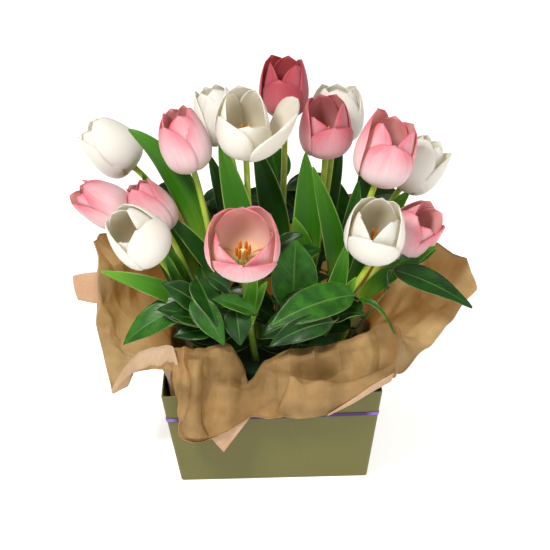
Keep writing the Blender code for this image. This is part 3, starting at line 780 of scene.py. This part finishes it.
def petal_rows(bloom, angle, whorl, spread, height, rng):
    """One petal's grid of points: a cupped sheet that follows the bloom's egg shape."""
    axes = bloom_axes(bloom)
    radius = bloom.radius * whorl
    mouth = bloom.mouth * whorl + spread * bloom.radius
    top = bloom.length
    profile = (
        Vector((0.16 * radius, 0.0)),
        Vector(((1.28 + 0.1 * spread) * radius, -0.02 * top)),
        Vector(((1.13 + 0.55 * spread) * radius, 0.55 * top)),
        Vector((mouth, top)),
    )
    wave_phase = rng.uniform(0.0, 2 * math.pi)
    wave_size = rng.uniform(0.2, 0.5)
    lip = rng.uniform(-1.0, 0.0) if whorl < 1.0 else rng.uniform(0.0, 1.6)
    rows = []
    for j in range(PETAL_ROWS + 1):
        share = j / PETAL_ROWS
        out, up = bezier(*profile, share * height)
        width = petal_width(share)
        half = max(math.radians(PETAL_HALF_ANGLE) * width, PETAL_LEAST / max(out, 1.0))
        row = []
        for i in range(PETAL_COLUMNS + 1):
            across = 2.0 * i / PETAL_COLUMNS - 1.0
            reach = out * (1.0 + PETAL_OVERLAP * across)
            ripple = math.sin(5.0 * share + wave_phase + 2.0 * across) * abs(across) * share
            groove = math.exp(-((across / 0.10) ** 2)) * share * (1.0 - share)
            reach += width * (lip * across**2 * share**3 + wave_size * ripple - PETAL_GROOVE * groove)
            reach += width * PETAL_RIDGES * math.cos(9.0 * across) * share
            rise = up + width * math.sin(5.0 * across + wave_phase) * share**4
            flat = around(axes, math.radians(angle) + across * half)
            row.append(bloom.base + flat * reach + bloom.axis * rise)
        rows.append(row)
    return rows


def build_petals(number, bloom, finishes):
    body = tulip_body(number)
    look = BLOOM_LOOKS[number]
    rng = random.Random(100 + number)
    sheets = []
    for index in (1, 3, 5, 0, 2, 4):
        whorl = INNER_WHORL if index % 2 else 1.0
        spread = look.spread.get(index, 0.0) + rng.uniform(-0.05, 0.05)
        height = look.height.get(index, 1.0) * rng.uniform(0.97, 1.02)
        sheets.append(petal_rows(bloom, look.turn + 60.0 * index, whorl, spread, height, rng))
    petals = sheet_piece(body + "_petals", sheets, finishes, body, petal_slot(number), PETAL_THICK, -1.0, 1)
    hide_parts(body + "_bloom")


def build_heart(number, bloom, finishes):
    """Pistil with three lobes and a ring of six stamens."""
    body = tulip_body(number)
    axes = bloom_axes(bloom)
    rng = random.Random(200 + number)
    work = bmesh.new()
    floor = bloom.base + bloom.axis * 1.0
    pistil = [floor + bloom.axis * PISTIL_HEIGHT * step / 5 for step in range(6)]
    add_tube(work, pistil, (2.6, 2.9, 2.7, 2.3, 2.2, 1.6), 9)
    for lobe in range(3):
        flat = around(axes, 2 * math.pi * lobe / 3)
        ridge = [pistil[-1] + flat * out + bloom.axis * up for out, up in ((0, -1), (1.6, 0.9), (2.9, 0.2))]
        add_tube(work, ridge, (1.4, 1.3, 0.5), 7)
    for stamen in range(STAMENS):
        flat = around(axes, 2 * math.pi * (stamen + 0.5) / STAMENS + rng.uniform(-0.15, 0.15))
        foot = floor + flat * 2.8
        joint = floor + flat * STAMEN_RING + bloom.axis * FILAMENT_HEIGHT
        tip = joint + flat * rng.uniform(0.2, 1.8) + bloom.axis * ANTHER_LENGTH
        add_tube(work, [foot, (foot + joint) / 2 + flat * 0.6, joint], (0.9, 0.7, 0.5), 6)
        anther = [joint + (tip - joint) * step / 6 for step in range(7)]
        add_tube(work, anther, (0.4, 1.3, 1.6, 1.6, 1.5, 1.2, 0.4), 8, 1)
    finished(work, body + "_heart", finishes, body, petal_slot(number))


# ---- tulip stems and blades
STEM_STEPS = 26
STEM_TAPER = 0.12
STEM_COLLAR = 1.22  # how much wider the stem is where the petals grow from it
BLADE_FOOT = 5.0  # width of a blade's foot and tip
BLADE_TIP = 0.8
BLADE_THICK = 0.8
BLADE_GUTTER = 0.34  # how far a blade's margins stand above its middle, as a share of its half width
LEAF_WAVE = 0.9


def tulip_stem_path(number, bloom):
    return stem_curve(tulip_body(number), bloom.base - bloom.axis * STEM_NECK, bloom.axis)


def build_stalk(number, bloom, finish):
    body = tulip_body(number)
    points = stem_points(body, tulip_stem_path(number, bloom), STEM_STEPS)
    points += [bloom.base + bloom.axis * height for height in (-1.6, 0.4, 2.2)]
    last = len(points) - 1
    radii = [STEM_RADIUS * (1.0 - STEM_TAPER * smooth(index / last, 0.1, 0.8)) for index in range(last + 1)]
    radii[-3:] = (STEM_RADIUS, STEM_RADIUS * STEM_COLLAR, STEM_RADIUS)
    work = bmesh.new()
    add_tube(work, points, radii, 14)
    stalk = finished(work, body + "_stalk", [finish], body, "tulip_stem")
    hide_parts(body + "_stem")


def blade_width(share, width):
    """Half width along a tulip leaf: a narrow foot, widest before the middle and a pointed tip."""
    swell = math.sin(math.pi * share**0.75) ** 0.85 if 0 < share < 1 else 0.0
    narrow = BLADE_FOOT + (BLADE_TIP - BLADE_FOOT) * share
    return 0.5 * (narrow + (width - narrow) * swell)


def blade_rows(path, half_width, width, face, gutter, twist, columns, steps):
    """A leaf's grid of points: a folded strip along a path, turned to face a direction."""
    rows = []
    for j in range(steps + 1):
        share = j / steps
        ahead = (path(min(share + 0.02, 1.0)) - path(max(share - 0.02, 0.0))).normalized()
        side = ahead.cross(Vector(face)).normalized()
        upper = side.cross(ahead).normalized()
        angle = math.radians(twist) * (share - 0.3)
        side, upper = around((side, upper), angle), around((upper, -side), angle)
        half = half_width(share, width)
        row = []
        for i in range(columns + 1):
            across = 2.0 * i / columns - 1.0
            lift = gutter * half * abs(across) ** 1.4
            lift += LEAF_WAVE * math.sin(9.0 * share + 2.0 * across) * across * across
            row.append(path(share) + side * across * half + upper * lift)
        rows.append(row)
    return rows


def tulip_blade_path(blade, bloom):
    """Centre line of a blade that starts beside its stem, follows it and then bends to its tip."""
    stem = tulip_stem_path(blade.tulip, bloom)
    middle = bloom.base + bloom.axis * bloom.length / 2
    share = blade.height / (middle.z - FOAM_TOP)
    along = (stem(share + 0.05) - stem(share - 0.05)).normalized()
    face = Vector(blade.face)
    outward = (face - along * face.dot(along)).normalized()
    start = stem(share) + outward * BLADE_GAP
    tip = Vector(blade.tip)
    lead = start + along * (tip - start).length * blade.rise
    follow = tip + (lead - tip) * BLADE_FOLLOW
    return lambda at: bezier(start, lead, follow, tip, at)


def build_tulip_blades(blooms, finishes):
    counts = {}
    for blade in TULIP_BLADES:
        count = counts.get(blade.tulip, 0) + 1
        counts[blade.tulip] = count
        body = tulip_body(blade.tulip)
        path = tulip_blade_path(blade, blooms[blade.tulip])
        rows = blade_rows(path, blade_width, blade.width, blade.face, BLADE_GUTTER, blade.twist, 12, 30)
        name = f"{body}_blade_{count}"
        piece = sheet_piece(name, [rows], [finishes[blade.look]], body, "tulip_leaf", BLADE_THICK)
        if count == 1:
            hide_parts(body + "_leaf")


# ---- salal sprigs
TEETH = 22
TOOTH_STEPS = 2
TOOTH_HEIGHT = 0.45
SALAL_GUTTER = 0.20
SALAL_TWIST = 6
SALAL_THICK = 0.6
SPRIG_TAPER = 0.45
ROOM_HALF = 86.0  # filler leaves stay this near the middle, and flare out with the paper above ROOM_OPENS
ROOM_OPENS = 132.0
ROOM_FLARE = 0.45
ROOM_FLOOR = 3.0  # and this far above the foam
FILLER_TRIES = 150
FILLER_GAP = 7.0  # a filler leaf's short stalk


def salal_width(share, width):
    """Half width of a salal leaf: broad below the middle, a drawn-out tip and small teeth."""
    swell = math.sin(math.pi * share**0.72) ** 0.72 if 0 < share < 1 else 0.0
    swell *= 1.0 - 0.22 * smooth(share, 0.6, 1.0)
    tooth = TOOTH_HEIGHT * ((share * TEETH) % 1.0) * smooth(share, 0.05, 0.2)
    return max(0.5 * width * swell + tooth * swell, 0.45)


def salal_rows(foot, tip, width, face, arch, columns, steps):
    """A salal leaf's grid of points, its middle above the line from foot to tip."""
    lead, follow = [foot + (tip - foot) * share + UP * arch for share in (0.30, 0.72)]

    def path(at):
        return bezier(foot, lead, follow, tip, at)

    return blade_rows(path, salal_width, width, face, SALAL_GUTTER, SALAL_TWIST, columns, steps)


def add_stalk(work, start, foot, arrival):
    """The short stalk of a salal leaf, from its sprig into the leaf's foot."""
    follow = foot - arrival * (foot - start).length * 0.4
    points = [bezier(start, start.lerp(follow, 0.5), follow, foot, step / 5) for step in range(6)]
    points.append(foot + arrival * 2.0)
    add_tube(work, points, (1.0, 0.9, 0.85, 0.85, 0.9, 0.9, 0.4), 7)


def rows_tree(rows, shift=Vector()):
    """Search tree of a sheet's faces, in mm, moved by a shift."""
    points = [point + shift for row in rows for point in row]
    width = len(rows[0])
    faces = []
    for j in range(len(rows) - 1):
        for a in range(j * width, (j + 1) * width - 1):
            faces.append((a, a + 1, a + width + 1, a + width))
    return BVHTree.FromPolygons(points, faces)


def piece_tree(piece):
    """Search tree of a piece's faces, in mm."""
    points = [vertex.co / MM for vertex in piece.data.vertices]
    return BVHTree.FromPolygons(points, [tuple(face.vertices) for face in piece.data.polygons])


def meets(tree, others):
    return any(tree.overlap(other) for other in others)


def in_room(rows):
    """Whether a leaf stays over the foam and inside the paper."""
    for row in rows:
        for point in row:
            spread = ROOM_HALF + max(point.z - ROOM_OPENS, 0.0) * ROOM_FLARE
            if max(abs(point.x), abs(point.y)) > spread or point.z < FOAM_TOP + ROOM_FLOOR:
                return False
    return True


def filler_leaves(path, count, rng, trees, draw, bloom_trees):
    """Small leaves round a sprig, each where it touches nothing and can be drawn past the blooms."""
    placed = []
    for _ in range(FILLER_TRIES):
        if len(placed) == count:
            break
        start = path(rng.uniform(0.12, 1.0))
        turn = rng.uniform(0.0, 2 * math.pi)
        climb = rng.uniform(-0.25, 0.75)
        way = Vector((math.cos(turn), math.sin(turn), climb)).normalized()
        foot = start + way * FILLER_GAP
        tip = foot + way * rng.uniform(34.0, 60.0) - UP * rng.uniform(0.0, 12.0)
        width = (tip - foot).length * rng.uniform(0.44, 0.58)
        face = Vector((0.3 * way.x, 0.3 * way.y - 0.55, 0.8)) + UP * rng.uniform(-0.3, 0.3)
        rows = salal_rows(foot, tip, width, face, rng.uniform(2.0, 6.0), 6, 18)
        tree = rows_tree(rows)
        free = in_room(rows) and not meets(tree, trees)
        if free and not any(meets(rows_tree(rows, draw * share), bloom_trees) for share in (0.5, 1.0)):
            trees.append(tree)
            placed.append((start, foot, rows))
    return placed


def build_sprigs(finishes, twig, trees, bloom_trees):
    for order, (name, sprig) in enumerate(SPRIGS.items()):
        body = name + "_sprig"
        top = Vector(sprig.top)
        path = stem_curve(body, top, (top - entry_point(body)).normalized())
        points = stem_points(body, path, 16)
        last = len(points) - 1
        radii = [SPRIG_RADIUS * (1.0 - SPRIG_TAPER * index / last) for index in range(last + 1)]
        work = bmesh.new()
        add_tube(work, points, radii, 9)
        for number, leaf in enumerate(sprig.leaves, 1):
            foot, tip = Vector(leaf.foot), Vector(leaf.tip)
            add_stalk(work, path(leaf.start), foot, (tip - foot).normalized())
            rows = salal_rows(foot, tip, leaf.width, leaf.face, leaf.arch, 12, TEETH * TOOTH_STEPS)
            finish = finishes[(order + number) % len(finishes)]
            sheet_piece(f"{name}_leaf_{number}", [rows], [finish], body, "salal_leaf", SALAL_THICK)
            trees.append(rows_tree(rows))
        draw = DRAW[body] * REACH[body]
        placed = filler_leaves(path, sprig.fillers, random.Random(300 + order), trees, draw, bloom_trees)
        for start, foot, rows in placed:
            add_stalk(work, start, foot, (rows[1][3] - rows[0][3]).normalized())
        if placed:
            sheets = [rows for _, _, rows in placed]
            # Filler leaves all wear the darker salal finish: partly real variation, partly painted shade
            # deep in the foliage.
            sheet_piece(name + "_leaves", sheets, [finishes[0]], body, "salal_leaf", SALAL_THICK)
        stem = finished(work, name + "_twig", [twig], body, "salal_leaf")
        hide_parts(name)


# ---- kraft paper
WRAP_FLOOR_HALF = 79.0
WRAP_FLOOR = corners("kraft_wrap")[0].z + 0.4
WRAP_WALL = ((83.8, 7.0), (96.3, BOX_HEIGHT + 2.2))  # half width and height at the foot and the rim
WRAP_SQUARENESS = 8
WRAP_THICK = 0.4
WALL_GAP_OUT = 1.6  # from the box's slope to the hanging paper
WALL_GAP_IN = 1.9  # and to the lining
RIM_CLEAR = 2.0  # the paper is held off the box up to here above its rim
COLUMNS_PER_CREASE = 18
WALL_STEPS = 12
OVER_STEPS = 12
HANG_STEPS = 18
HEM_STEPS = 3
HEM_BELLY = 1.6
RIM_ROW = 1 + WALL_STEPS
RIDGE_ROW = RIM_ROW + OVER_STEPS
VALLEY_START = 0.45  # share of the wall's height where the valleys between creases begin
CRISP_FOLD = 22.0  # folds sharper than this stay sharp
DRAPE_SPANS = (  # left, right, low and high ends of the front parts whose pale back is painted the drape's brown, as painted shade
    (-72.0, 104.0, 96.0, 150.0),
    (-102.0, -76.0, 86.0, 113.0),
)
DRAPE_BEHIND = -84.0
RISE_GAP = 3.0  # between the paper's rise and its front drape
RISE_ABOVE = 5.0  # how far above a point of the drape the rise behind it still counts
PUSH_SPREAD = 4  # columns over which the push that makes this gap is evened out
FOLD_WAVES = 5
FOLD_PITCH = 40.0  # of the finest folds, and each wave is wider by FOLD_GROWTH
FOLD_GROWTH = 1.3
FOLD_DEPTH = 0.036  # as a share of a fold's pitch
FOLD_PATCH = 48.0  # size of the patches in which a wave of folds comes and goes
CRUSH = ((60, 0.24), (170, -0.24))  # how many dents, and how steeply the paper rises between them
CRUSH_ROUND = 9.0  # a dent's rounding, in square mm
CRUMPLED_LINING = 0.08  # share of the crumpling that the box floor's end keeps
CORNER_STEPS = 14
LAYER_STEPS = 5  # rows between two pairs of points
LAYER_COLUMNS = 20


def rounded_square(direction, half):
    """Point on a superellipse of this half width, in this flat direction."""
    across = abs(direction.x) ** WRAP_SQUARENESS + abs(direction.y) ** WRAP_SQUARENESS
    return direction * half / across ** (1.0 / WRAP_SQUARENESS)


def span(first, second, leave, arrive, steps):
    """Points after the first on a curve that leaves and arrives in these directions."""
    chord = (second - first).length / 3
    lead, follow = first + leave * chord, second - arrive * chord
    return [bezier(first, lead, follow, second, step / steps) for step in range(1, steps + 1)]


def crease_line(crease):
    """One crease of the sheet, from the box floor up the wall, over the ridge and out to its edge."""
    direction = Vector(crease.ridge[:2]).normalized()
    outward = Vector((direction.x, direction.y, 0.0))
    floor = Vector((*rounded_square(direction, WRAP_FLOOR_HALF), WRAP_FLOOR))
    foot, rim = [Vector((*rounded_square(direction, half), height)) for half, height in WRAP_WALL]
    ridge, edge = Vector(crease.ridge), Vector(crease.edge)
    bulge = Vector((direction.x, direction.y, 0.6)) * 0.06 * (edge - ridge).length
    brow = Vector(crease.brow) if crease.brow else (ridge + edge) / 2 + bulge
    dip = Vector(crease.dip) if crease.dip else (ridge + brow) / 2 + bulge * 0.5
    stops = [foot, rim, ridge, dip, brow, edge]
    runs = [(b - a).normalized() for a, b in zip(stops, stops[1:])]
    bends = [(a + b).normalized() for a, b in zip(runs, runs[1:])]
    line = [floor, (floor + foot) / 2]
    line += [foot + (rim - foot) * step / WALL_STEPS for step in range(WALL_STEPS + 1)]
    line += span(rim, ridge, bends[0], bends[1], OVER_STEPS)
    line += span(ridge, dip, bends[1], bends[2], HANG_STEPS // 2)
    line += span(dip, brow, bends[2], bends[3], HANG_STEPS // 2)
    line += span(brow, edge, bends[3], runs[4], HANG_STEPS)
    for step in range(1, HEM_STEPS + 1):
        share = step / HEM_STEPS
        turn_out = outward * HEM_BELLY * math.sin(math.pi * share)
        line.append(edge + turn_out + UP * crease.hem * share + runs[4] * 0.4 * step)
    return line


def wrap_grid():
    """The whole sheet as an array of rows by columns, before crumpling."""
    lines = np.array([[tuple(point) for point in crease_line(crease)] for crease in WRAP_CREASES])
    flat = lines[:, RIDGE_ROW + 1, :2]
    outward = flat / np.linalg.norm(flat, axis=1)[:, None]
    above = np.arange(lines.shape[1]) - VALLEY_START * (RIM_ROW + 1)
    rise = np.clip(above / ((1.0 - VALLEY_START) * (RIM_ROW + 1) + OVER_STEPS), 0.0, 1.0)
    fade = np.clip((np.arange(lines.shape[1]) - RIDGE_ROW - 1) / (2.0 * HANG_STEPS), 0.0, 1.0)
    depth = rise**1.5 * (1.0 - 0.65 * fade)
    columns = []
    for k, crease in enumerate(WRAP_CREASES):
        before, here, after, beyond = (lines[(k + shift) % len(lines)] for shift in (-1, 0, 1, 2))
        for step in range(COLUMNS_PER_CREASE):
            t = step / COLUMNS_PER_CREASE
            straight = here * (1 - t) + after * t
            column = 0.45 * straight + 0.55 * curve_through(before, here, after, beyond, t)
            size = crease.valley * (1.0 - abs(2.0 * t - 1.0))
            way = outward[k] * (1 - t) + outward[(k + 1) % len(lines)] * t
            column[:, :2] -= np.outer(depth * size, way)
            column[:, 2] -= depth * size * 0.7
            columns.append(column)
    return np.array(columns).transpose(1, 0, 2)


def crumple(grid):
    """Folds and dents the sheet along its normals: straight folds, and crisp lines between dents."""
    rng = np.random.default_rng(11)
    height = np.zeros(grid.shape[:2])
    for wave in range(FOLD_WAVES):
        direction = rng.normal(size=3)
        direction /= np.linalg.norm(direction)
        pitch = FOLD_PITCH * FOLD_GROWTH**wave
        phase = grid @ direction / pitch + rng.uniform()
        folded = 4.0 * np.abs(phase - np.floor(phase + 0.5)) - 1.0
        mask = 0.5 + 0.5 * np.sin(grid @ rng.normal(size=3) / FOLD_PATCH + rng.uniform(0.0, 6.0))
        height += folded * mask * pitch * FOLD_DEPTH
    flat = grid.reshape(-1, 3)
    for count, slope in CRUSH:
        centres = flat[rng.integers(0, len(flat), count)]
        nearest = np.full(len(flat), np.inf)
        for centre in centres:
            np.minimum(nearest, ((flat - centre) ** 2).sum(axis=1), out=nearest)
        rise = np.sqrt(nearest + CRUSH_ROUND)
        height += (slope * (rise - rise.mean())).reshape(height.shape)
    along = np.gradient(grid, axis=0)
    across = np.roll(grid, -1, axis=1) - np.roll(grid, 1, axis=1)
    normal = np.cross(across, along)
    normal /= np.maximum(np.linalg.norm(normal, axis=2, keepdims=True), 1e-9)
    free = np.clip((np.arange(len(grid)) - 2) / (WALL_STEPS + OVER_STEPS + 4.0), 0.0, 1.0)
    amount = CRUMPLED_LINING + (1.0 - CRUMPLED_LINING) * free**3
    amount[0] = 0.0
    shift = normal * (height * amount[:, None])[:, :, None]
    shift[-HEM_STEPS:] = shift[-HEM_STEPS - 1]
    return grid + shift


def keep_off_box(grid):
    """Holds the hanging paper off the box and off its own rise, and the lining inside the walls."""
    push = np.zeros(grid.shape[:2])
    for j, row in enumerate(grid):
        for k, point in enumerate(row):
            height = min(max(point[2], 0.0), BOX_HEIGHT)
            wall = BOX_BASE_HALF + (BOX_TOP_HALF - BOX_BASE_HALF) * height / BOX_HEIGHT
            side = 0 if abs(point[0]) > abs(point[1]) else 1
            reach = abs(point[side])
            hangs = j > RIDGE_ROW + 1
            if hangs and point[2] < BOX_HEIGHT + RIM_CLEAR and reach < wall + WALL_GAP_OUT:
                point[side] = math.copysign(wall + WALL_GAP_OUT, point[side])
            if j <= RIM_ROW + 1 and reach > wall - WALL_GAP_IN:
                point[side] = math.copysign(wall - WALL_GAP_IN, point[side])
            if hangs and side == 1 and point[1] < 0.0:
                rise = grid[RIM_ROW:RIDGE_ROW + 2, k]
                below = rise[rise[:, 2] <= point[2] + RISE_ABOVE]
                room = RISE_GAP * min((grid[RIDGE_ROW + 1, k, 2] - point[2]) / RISE_GAP, 1.0)
                if len(below) and room > 0.0:
                    push[j, k] = max(point[1] - below[:, 1].min() + room, 0.0)
    near = range(-PUSH_SPREAD, PUSH_SPREAD + 1)
    widest = np.max([np.roll(push, shift, axis=1) for shift in near], axis=0)
    grid[:, :, 1] -= np.mean([np.roll(widest, shift, axis=1) for shift in near], axis=0)
    return grid


def in_front_drape(point):
    """Whether a place is on the front part of the sheet whose pale back is painted the drape's brown, as
    painted shade.
    """
    return point.y < DRAPE_BEHIND and any(
        left < point.x < right and low < point.z < high for left, right, low, high in DRAPE_SPANS
    )


def build_sheet(painted_light_wing, back, drape):
    """The whole kraft sheet, closed under the tray."""
    grid = keep_off_box(crumple(wrap_grid()))
    work = bmesh.new()
    made = add_sheet(work, [[Vector(point) for point in row] + [Vector(row[0])] for row in grid])
    bmesh.ops.remove_doubles(work, verts=work.verts, dist=1e-7)
    ring = [vertex for vertex in made[0] if vertex.is_valid]
    floor = work.faces.new(ring[::-1])
    floor.smooth = True
    bmesh.ops.recalc_face_normals(work, faces=work.faces)
    if floor.normal.z < 0:
        bmesh.ops.reverse_faces(work, faces=work.faces)
    for face in work.faces:
        place = face.calc_center_median() / MM
        # painted shade: here the back takes the drape's brown in place of the paper's pale side
        if in_front_drape(place):
            face.material_index = 2
        elif place.y < DRAPE_BEHIND:
            face.material_index = 4
    paper = [painted_light_wing, back, drape, drape, drape, back]  # in pairs: a stretch's face and its back; the first face is a lighter copy painted as light, and the second pair's back is the drape's brown as painted shade over the pale side
    wrap = finished(work, "kraft_sheet", paper, "wrap", "kraft_paper")
    wrap.data.set_sharp_from_angle(angle=math.radians(CRISP_FOLD))
    thicken(wrap, WRAP_THICK, 0.0, 1)
    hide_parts("kraft_wrap")


def layer_rows(name, layer):
    """A loose layer's grid: lofted through its pairs of points and lightly waved between them."""
    rng = random.Random(name)
    pairs = [(Vector(a), Vector(b)) for a, b in layer.pairs]
    last = len(pairs) - 1
    rows = []
    for j in range(last * LAYER_STEPS + 1):
        k = min(j // LAYER_STEPS, last - 1)
        t = j / LAYER_STEPS - k
        four = (pairs[max(k - 1, 0)], pairs[k], pairs[k + 1], pairs[min(k + 2, last)])
        free, held = [curve_through(*[pair[side] for pair in four], t) for side in (0, 1)]
        wobble = rng.uniform(-0.12, 0.12)
        row = []
        for i in range(LAYER_COLUMNS + 1):
            a = i / LAYER_COLUMNS
            out = layer.bulge * math.sin(math.pi * a**0.8)
            crimp = (0.5 * abs(math.sin(0.55 * j + 3.0 * a)) + wobble) * math.sin(math.pi * a) ** 0.5
            row.append(free.lerp(held, a) - Vector((0.0, out + crimp, -0.25 * out)))
        rows.append(row)
    return rows


def corner_rows(name, rounding, points):
    """A turned-over corner's grid: a lightly folded patch between four points."""
    first, second, third, fourth = points
    normal = (second - first).cross(fourth - first).normalized()
    phase = random.Random(name).uniform(0.0, 6.0)
    rows = []
    for j in range(CORNER_STEPS + 1):
        row = []
        for i in range(CORNER_STEPS + 1):
            u, v = 2.0 * i / CORNER_STEPS - 1.0, 2.0 * j / CORNER_STEPS - 1.0
            a = 0.5 + 0.5 * u * math.sqrt(1.0 - 0.5 * rounding * v * v)
            b = 0.5 + 0.5 * v * math.sqrt(1.0 - 0.5 * rounding * u * u)
            place = first.lerp(second, a).lerp(fourth.lerp(third, a), b)
            bulge = 1.2 * math.sin(math.pi * a) * math.sin(math.pi * b)
            fold = 0.6 * abs(math.sin(4.0 * a + 3.0 * b + phase))
            row.append(place + normal * (bulge + fold))
        rows.append(row)
    return rows


def build_paper():
    # The first kraft finish here is a lighter, paler copy of the third: painted light on the sheet's sides,
    # back and lining.
    painted_light_wing = kraft_finish("kraft_painted_light_wing_finish", tone(150, 137, 94), tone(204, 189, 144), tone(240, 224, 190))
    back = kraft_finish("kraft_back_finish", tone(222, 194, 156), tone(236, 211, 178), tone(220, 156, 84))
    drape = kraft_finish("kraft_drape_finish", tone(134, 107, 60), tone(192, 160, 108), tone(236, 214, 172))
    build_sheet(painted_light_wing, back, drape)
    for name, (rounding, points) in TURNED_CORNERS.items():
        rows = corner_rows(name, rounding, [Vector(point) for point in points])
        sheet_piece(name, [rows], [back], "wrap", "kraft_paper", WRAP_THICK)
    for name, layer in LOOSE_LAYERS.items():
        paper = back if layer.pale else drape
        sheet_piece(name, [layer_rows(name, layer)], [paper], "wrap", "kraft_paper", WRAP_THICK)


# ---- the object
def repaint(node, material, bevel=0.0):
    """Gives a CAD node its finish, and rounds its edges a little."""
    piece = frame["nodes"][node]
    piece.data.materials.clear()
    piece.data.materials.append(material)
    if bevel:
        soften = piece.modifiers.new("soft_edges", "BEVEL")
        soften.width = bevel * MM
        soften.segments = 2
        soften.limit_method = "ANGLE"
        soften.angle_limit = math.radians(40)


def build_tulips():
    blooms = {number: read_bloom(number) for number in range(1, TULIP_COUNT + 1)}
    stem = stem_finish()
    heart = [
        grain_finish("pistil_finish", 0.5, 300.0, 0.2, tone(196, 204, 120), tone(226, 226, 160)),
        grain_finish("anther_finish", 0.8, 1800.0, 0.4, tone(206, 104, 14), tone(246, 164, 40)),
    ]
    for number, bloom in blooms.items():
        build_petals(number, bloom, bloom_finishes(number))
        build_heart(number, bloom, heart)
        build_stalk(number, bloom, stem)
    lime, leaf, painted_shade_green = tone(156, 196, 44), tone(58, 122, 14), tone(28, 76, 8)
    # The second blade finish is a darker copy of the first, painted shade, and the third a lighter lime
    # copy, painted light.
    build_tulip_blades(blooms, [
        blade_finish("tulip_blade_mid", lime, leaf, tone(80, 142, 22), 0.0),
        blade_finish("tulip_blade_painted_shade", leaf, painted_shade_green, tone(46, 102, 18), 5.0),
        blade_finish("tulip_blade_painted_light", lime, tone(84, 150, 34), tone(126, 184, 54), 9.0),
    ])


def build_salal():
    finishes = [
        salal_finish("salal_finish_1", tone(10, 42, 3), tone(22, 70, 6)),
        salal_finish("salal_finish_2", tone(24, 72, 6), tone(46, 106, 12)),
    ]
    made = [piece for piece in bpy.data.objects if piece.name.startswith(("tulip_", "kraft_"))]
    solid = [frame["nodes"]["floral_foam"], frame["nodes"]["liner_tray"], *made]
    trees = [piece_tree(piece) for piece in solid if not piece.name.endswith("_heart")]
    bloom_trees = [piece_tree(piece) for piece in solid if piece.name.endswith("_petals")]
    build_sprigs(finishes, twig_finish(), trees, bloom_trees)


def build_object():
    repaint("carton", card_finish(), 0.3)
    repaint("floor_card", board_finish())
    repaint("ribbon_band", ribbon_finish(), 0.1)
    repaint("liner_tray", tray_finish(), 0.4)
    repaint("floral_foam", foam_finish())
    build_paper()
    build_tulips()
    build_salal()


# ---- floor, light and camera
CAMERA_PLACE = Vector((5.62, -1711.78, 859.61)) * MM
CAMERA_PITCH = 22.0  # below the horizon
CAMERA_ROLL = 1.45
CAMERA_LENS = 129.1
TARGET = Vector((0.0, 0.0, 0.17))
FLOOR_GLOW = 0.6
SKY_GLOW = 0.46


def build_floor():
    finish = Finish("floor_finish", 0.9)
    finish.set("Base Color", finish.blend(finish.noise(3.0, 2.0), tone(244, 244, 243), tone(248, 248, 247)))
    finish.set("Emission Color", WHITE)
    finish.set("Emission Strength", FLOOR_GLOW)
    work = bmesh.new()
    bmesh.ops.create_grid(work, x_segments=1, y_segments=1, size=6.0)
    floor = add_mesh(work, "studio_floor", [finish.material])
    floor.location.z = -0.0005


def add_light(name, azimuth, elevation, distance, size, power, colour=(1.0, 1.0, 1.0)):
    """An area light aimed at the object. Azimuth 0 is in front and 90 towards +X."""
    a, e = math.radians(azimuth), math.radians(elevation)
    away = Vector((math.sin(a) * math.cos(e), -math.cos(a) * math.cos(e), math.sin(e)))
    data = bpy.data.lights.new(name, "AREA")
    data.shape = "DISK"
    data.size = size
    data.energy = power
    data.color = colour
    light = add_object(name, data)
    light.location = TARGET + away * distance
    light.rotation_euler = away.to_track_quat("Z", "Y").to_euler()


def build_studio():
    build_floor()
    add_light("key_light", -34, 48, 1.8, 0.42, 28.0, (1.0, 0.985, 0.96))
    add_light("fill_light", 50, 30, 2.2, 1.2, 10.0)
    world = bpy.data.worlds.new("studio_air")
    world.use_nodes = True
    background = world.node_tree.nodes["Background"]
    background.inputs["Color"].default_value = WHITE
    background.inputs["Strength"].default_value = SKY_GLOW
    scene = bpy.context.scene
    scene.world = world
    scene.view_settings.view_transform = "Standard"
    scene.cycles.use_denoising = True


def build_camera():
    pitch, roll = math.radians(CAMERA_PITCH), math.radians(CAMERA_ROLL)
    ahead = Vector((0.0, math.cos(pitch), -math.sin(pitch)))
    level = Vector((1.0, 0.0, 0.0))
    above = level.cross(ahead)
    right, up = around((level, -above), roll), around((above, level), roll)
    data = bpy.data.cameras.new("camera")
    data.lens = CAMERA_LENS
    data.sensor_width = 36.0
    data.clip_end = 50.0
    camera = add_object("camera", data)
    turn = Matrix((right, up, -ahead)).transposed()
    camera.matrix_world = Matrix.Translation(CAMERA_PLACE) @ turn.to_4x4()
    bpy.context.scene.camera = camera


build_object()
build_studio()
build_camera()
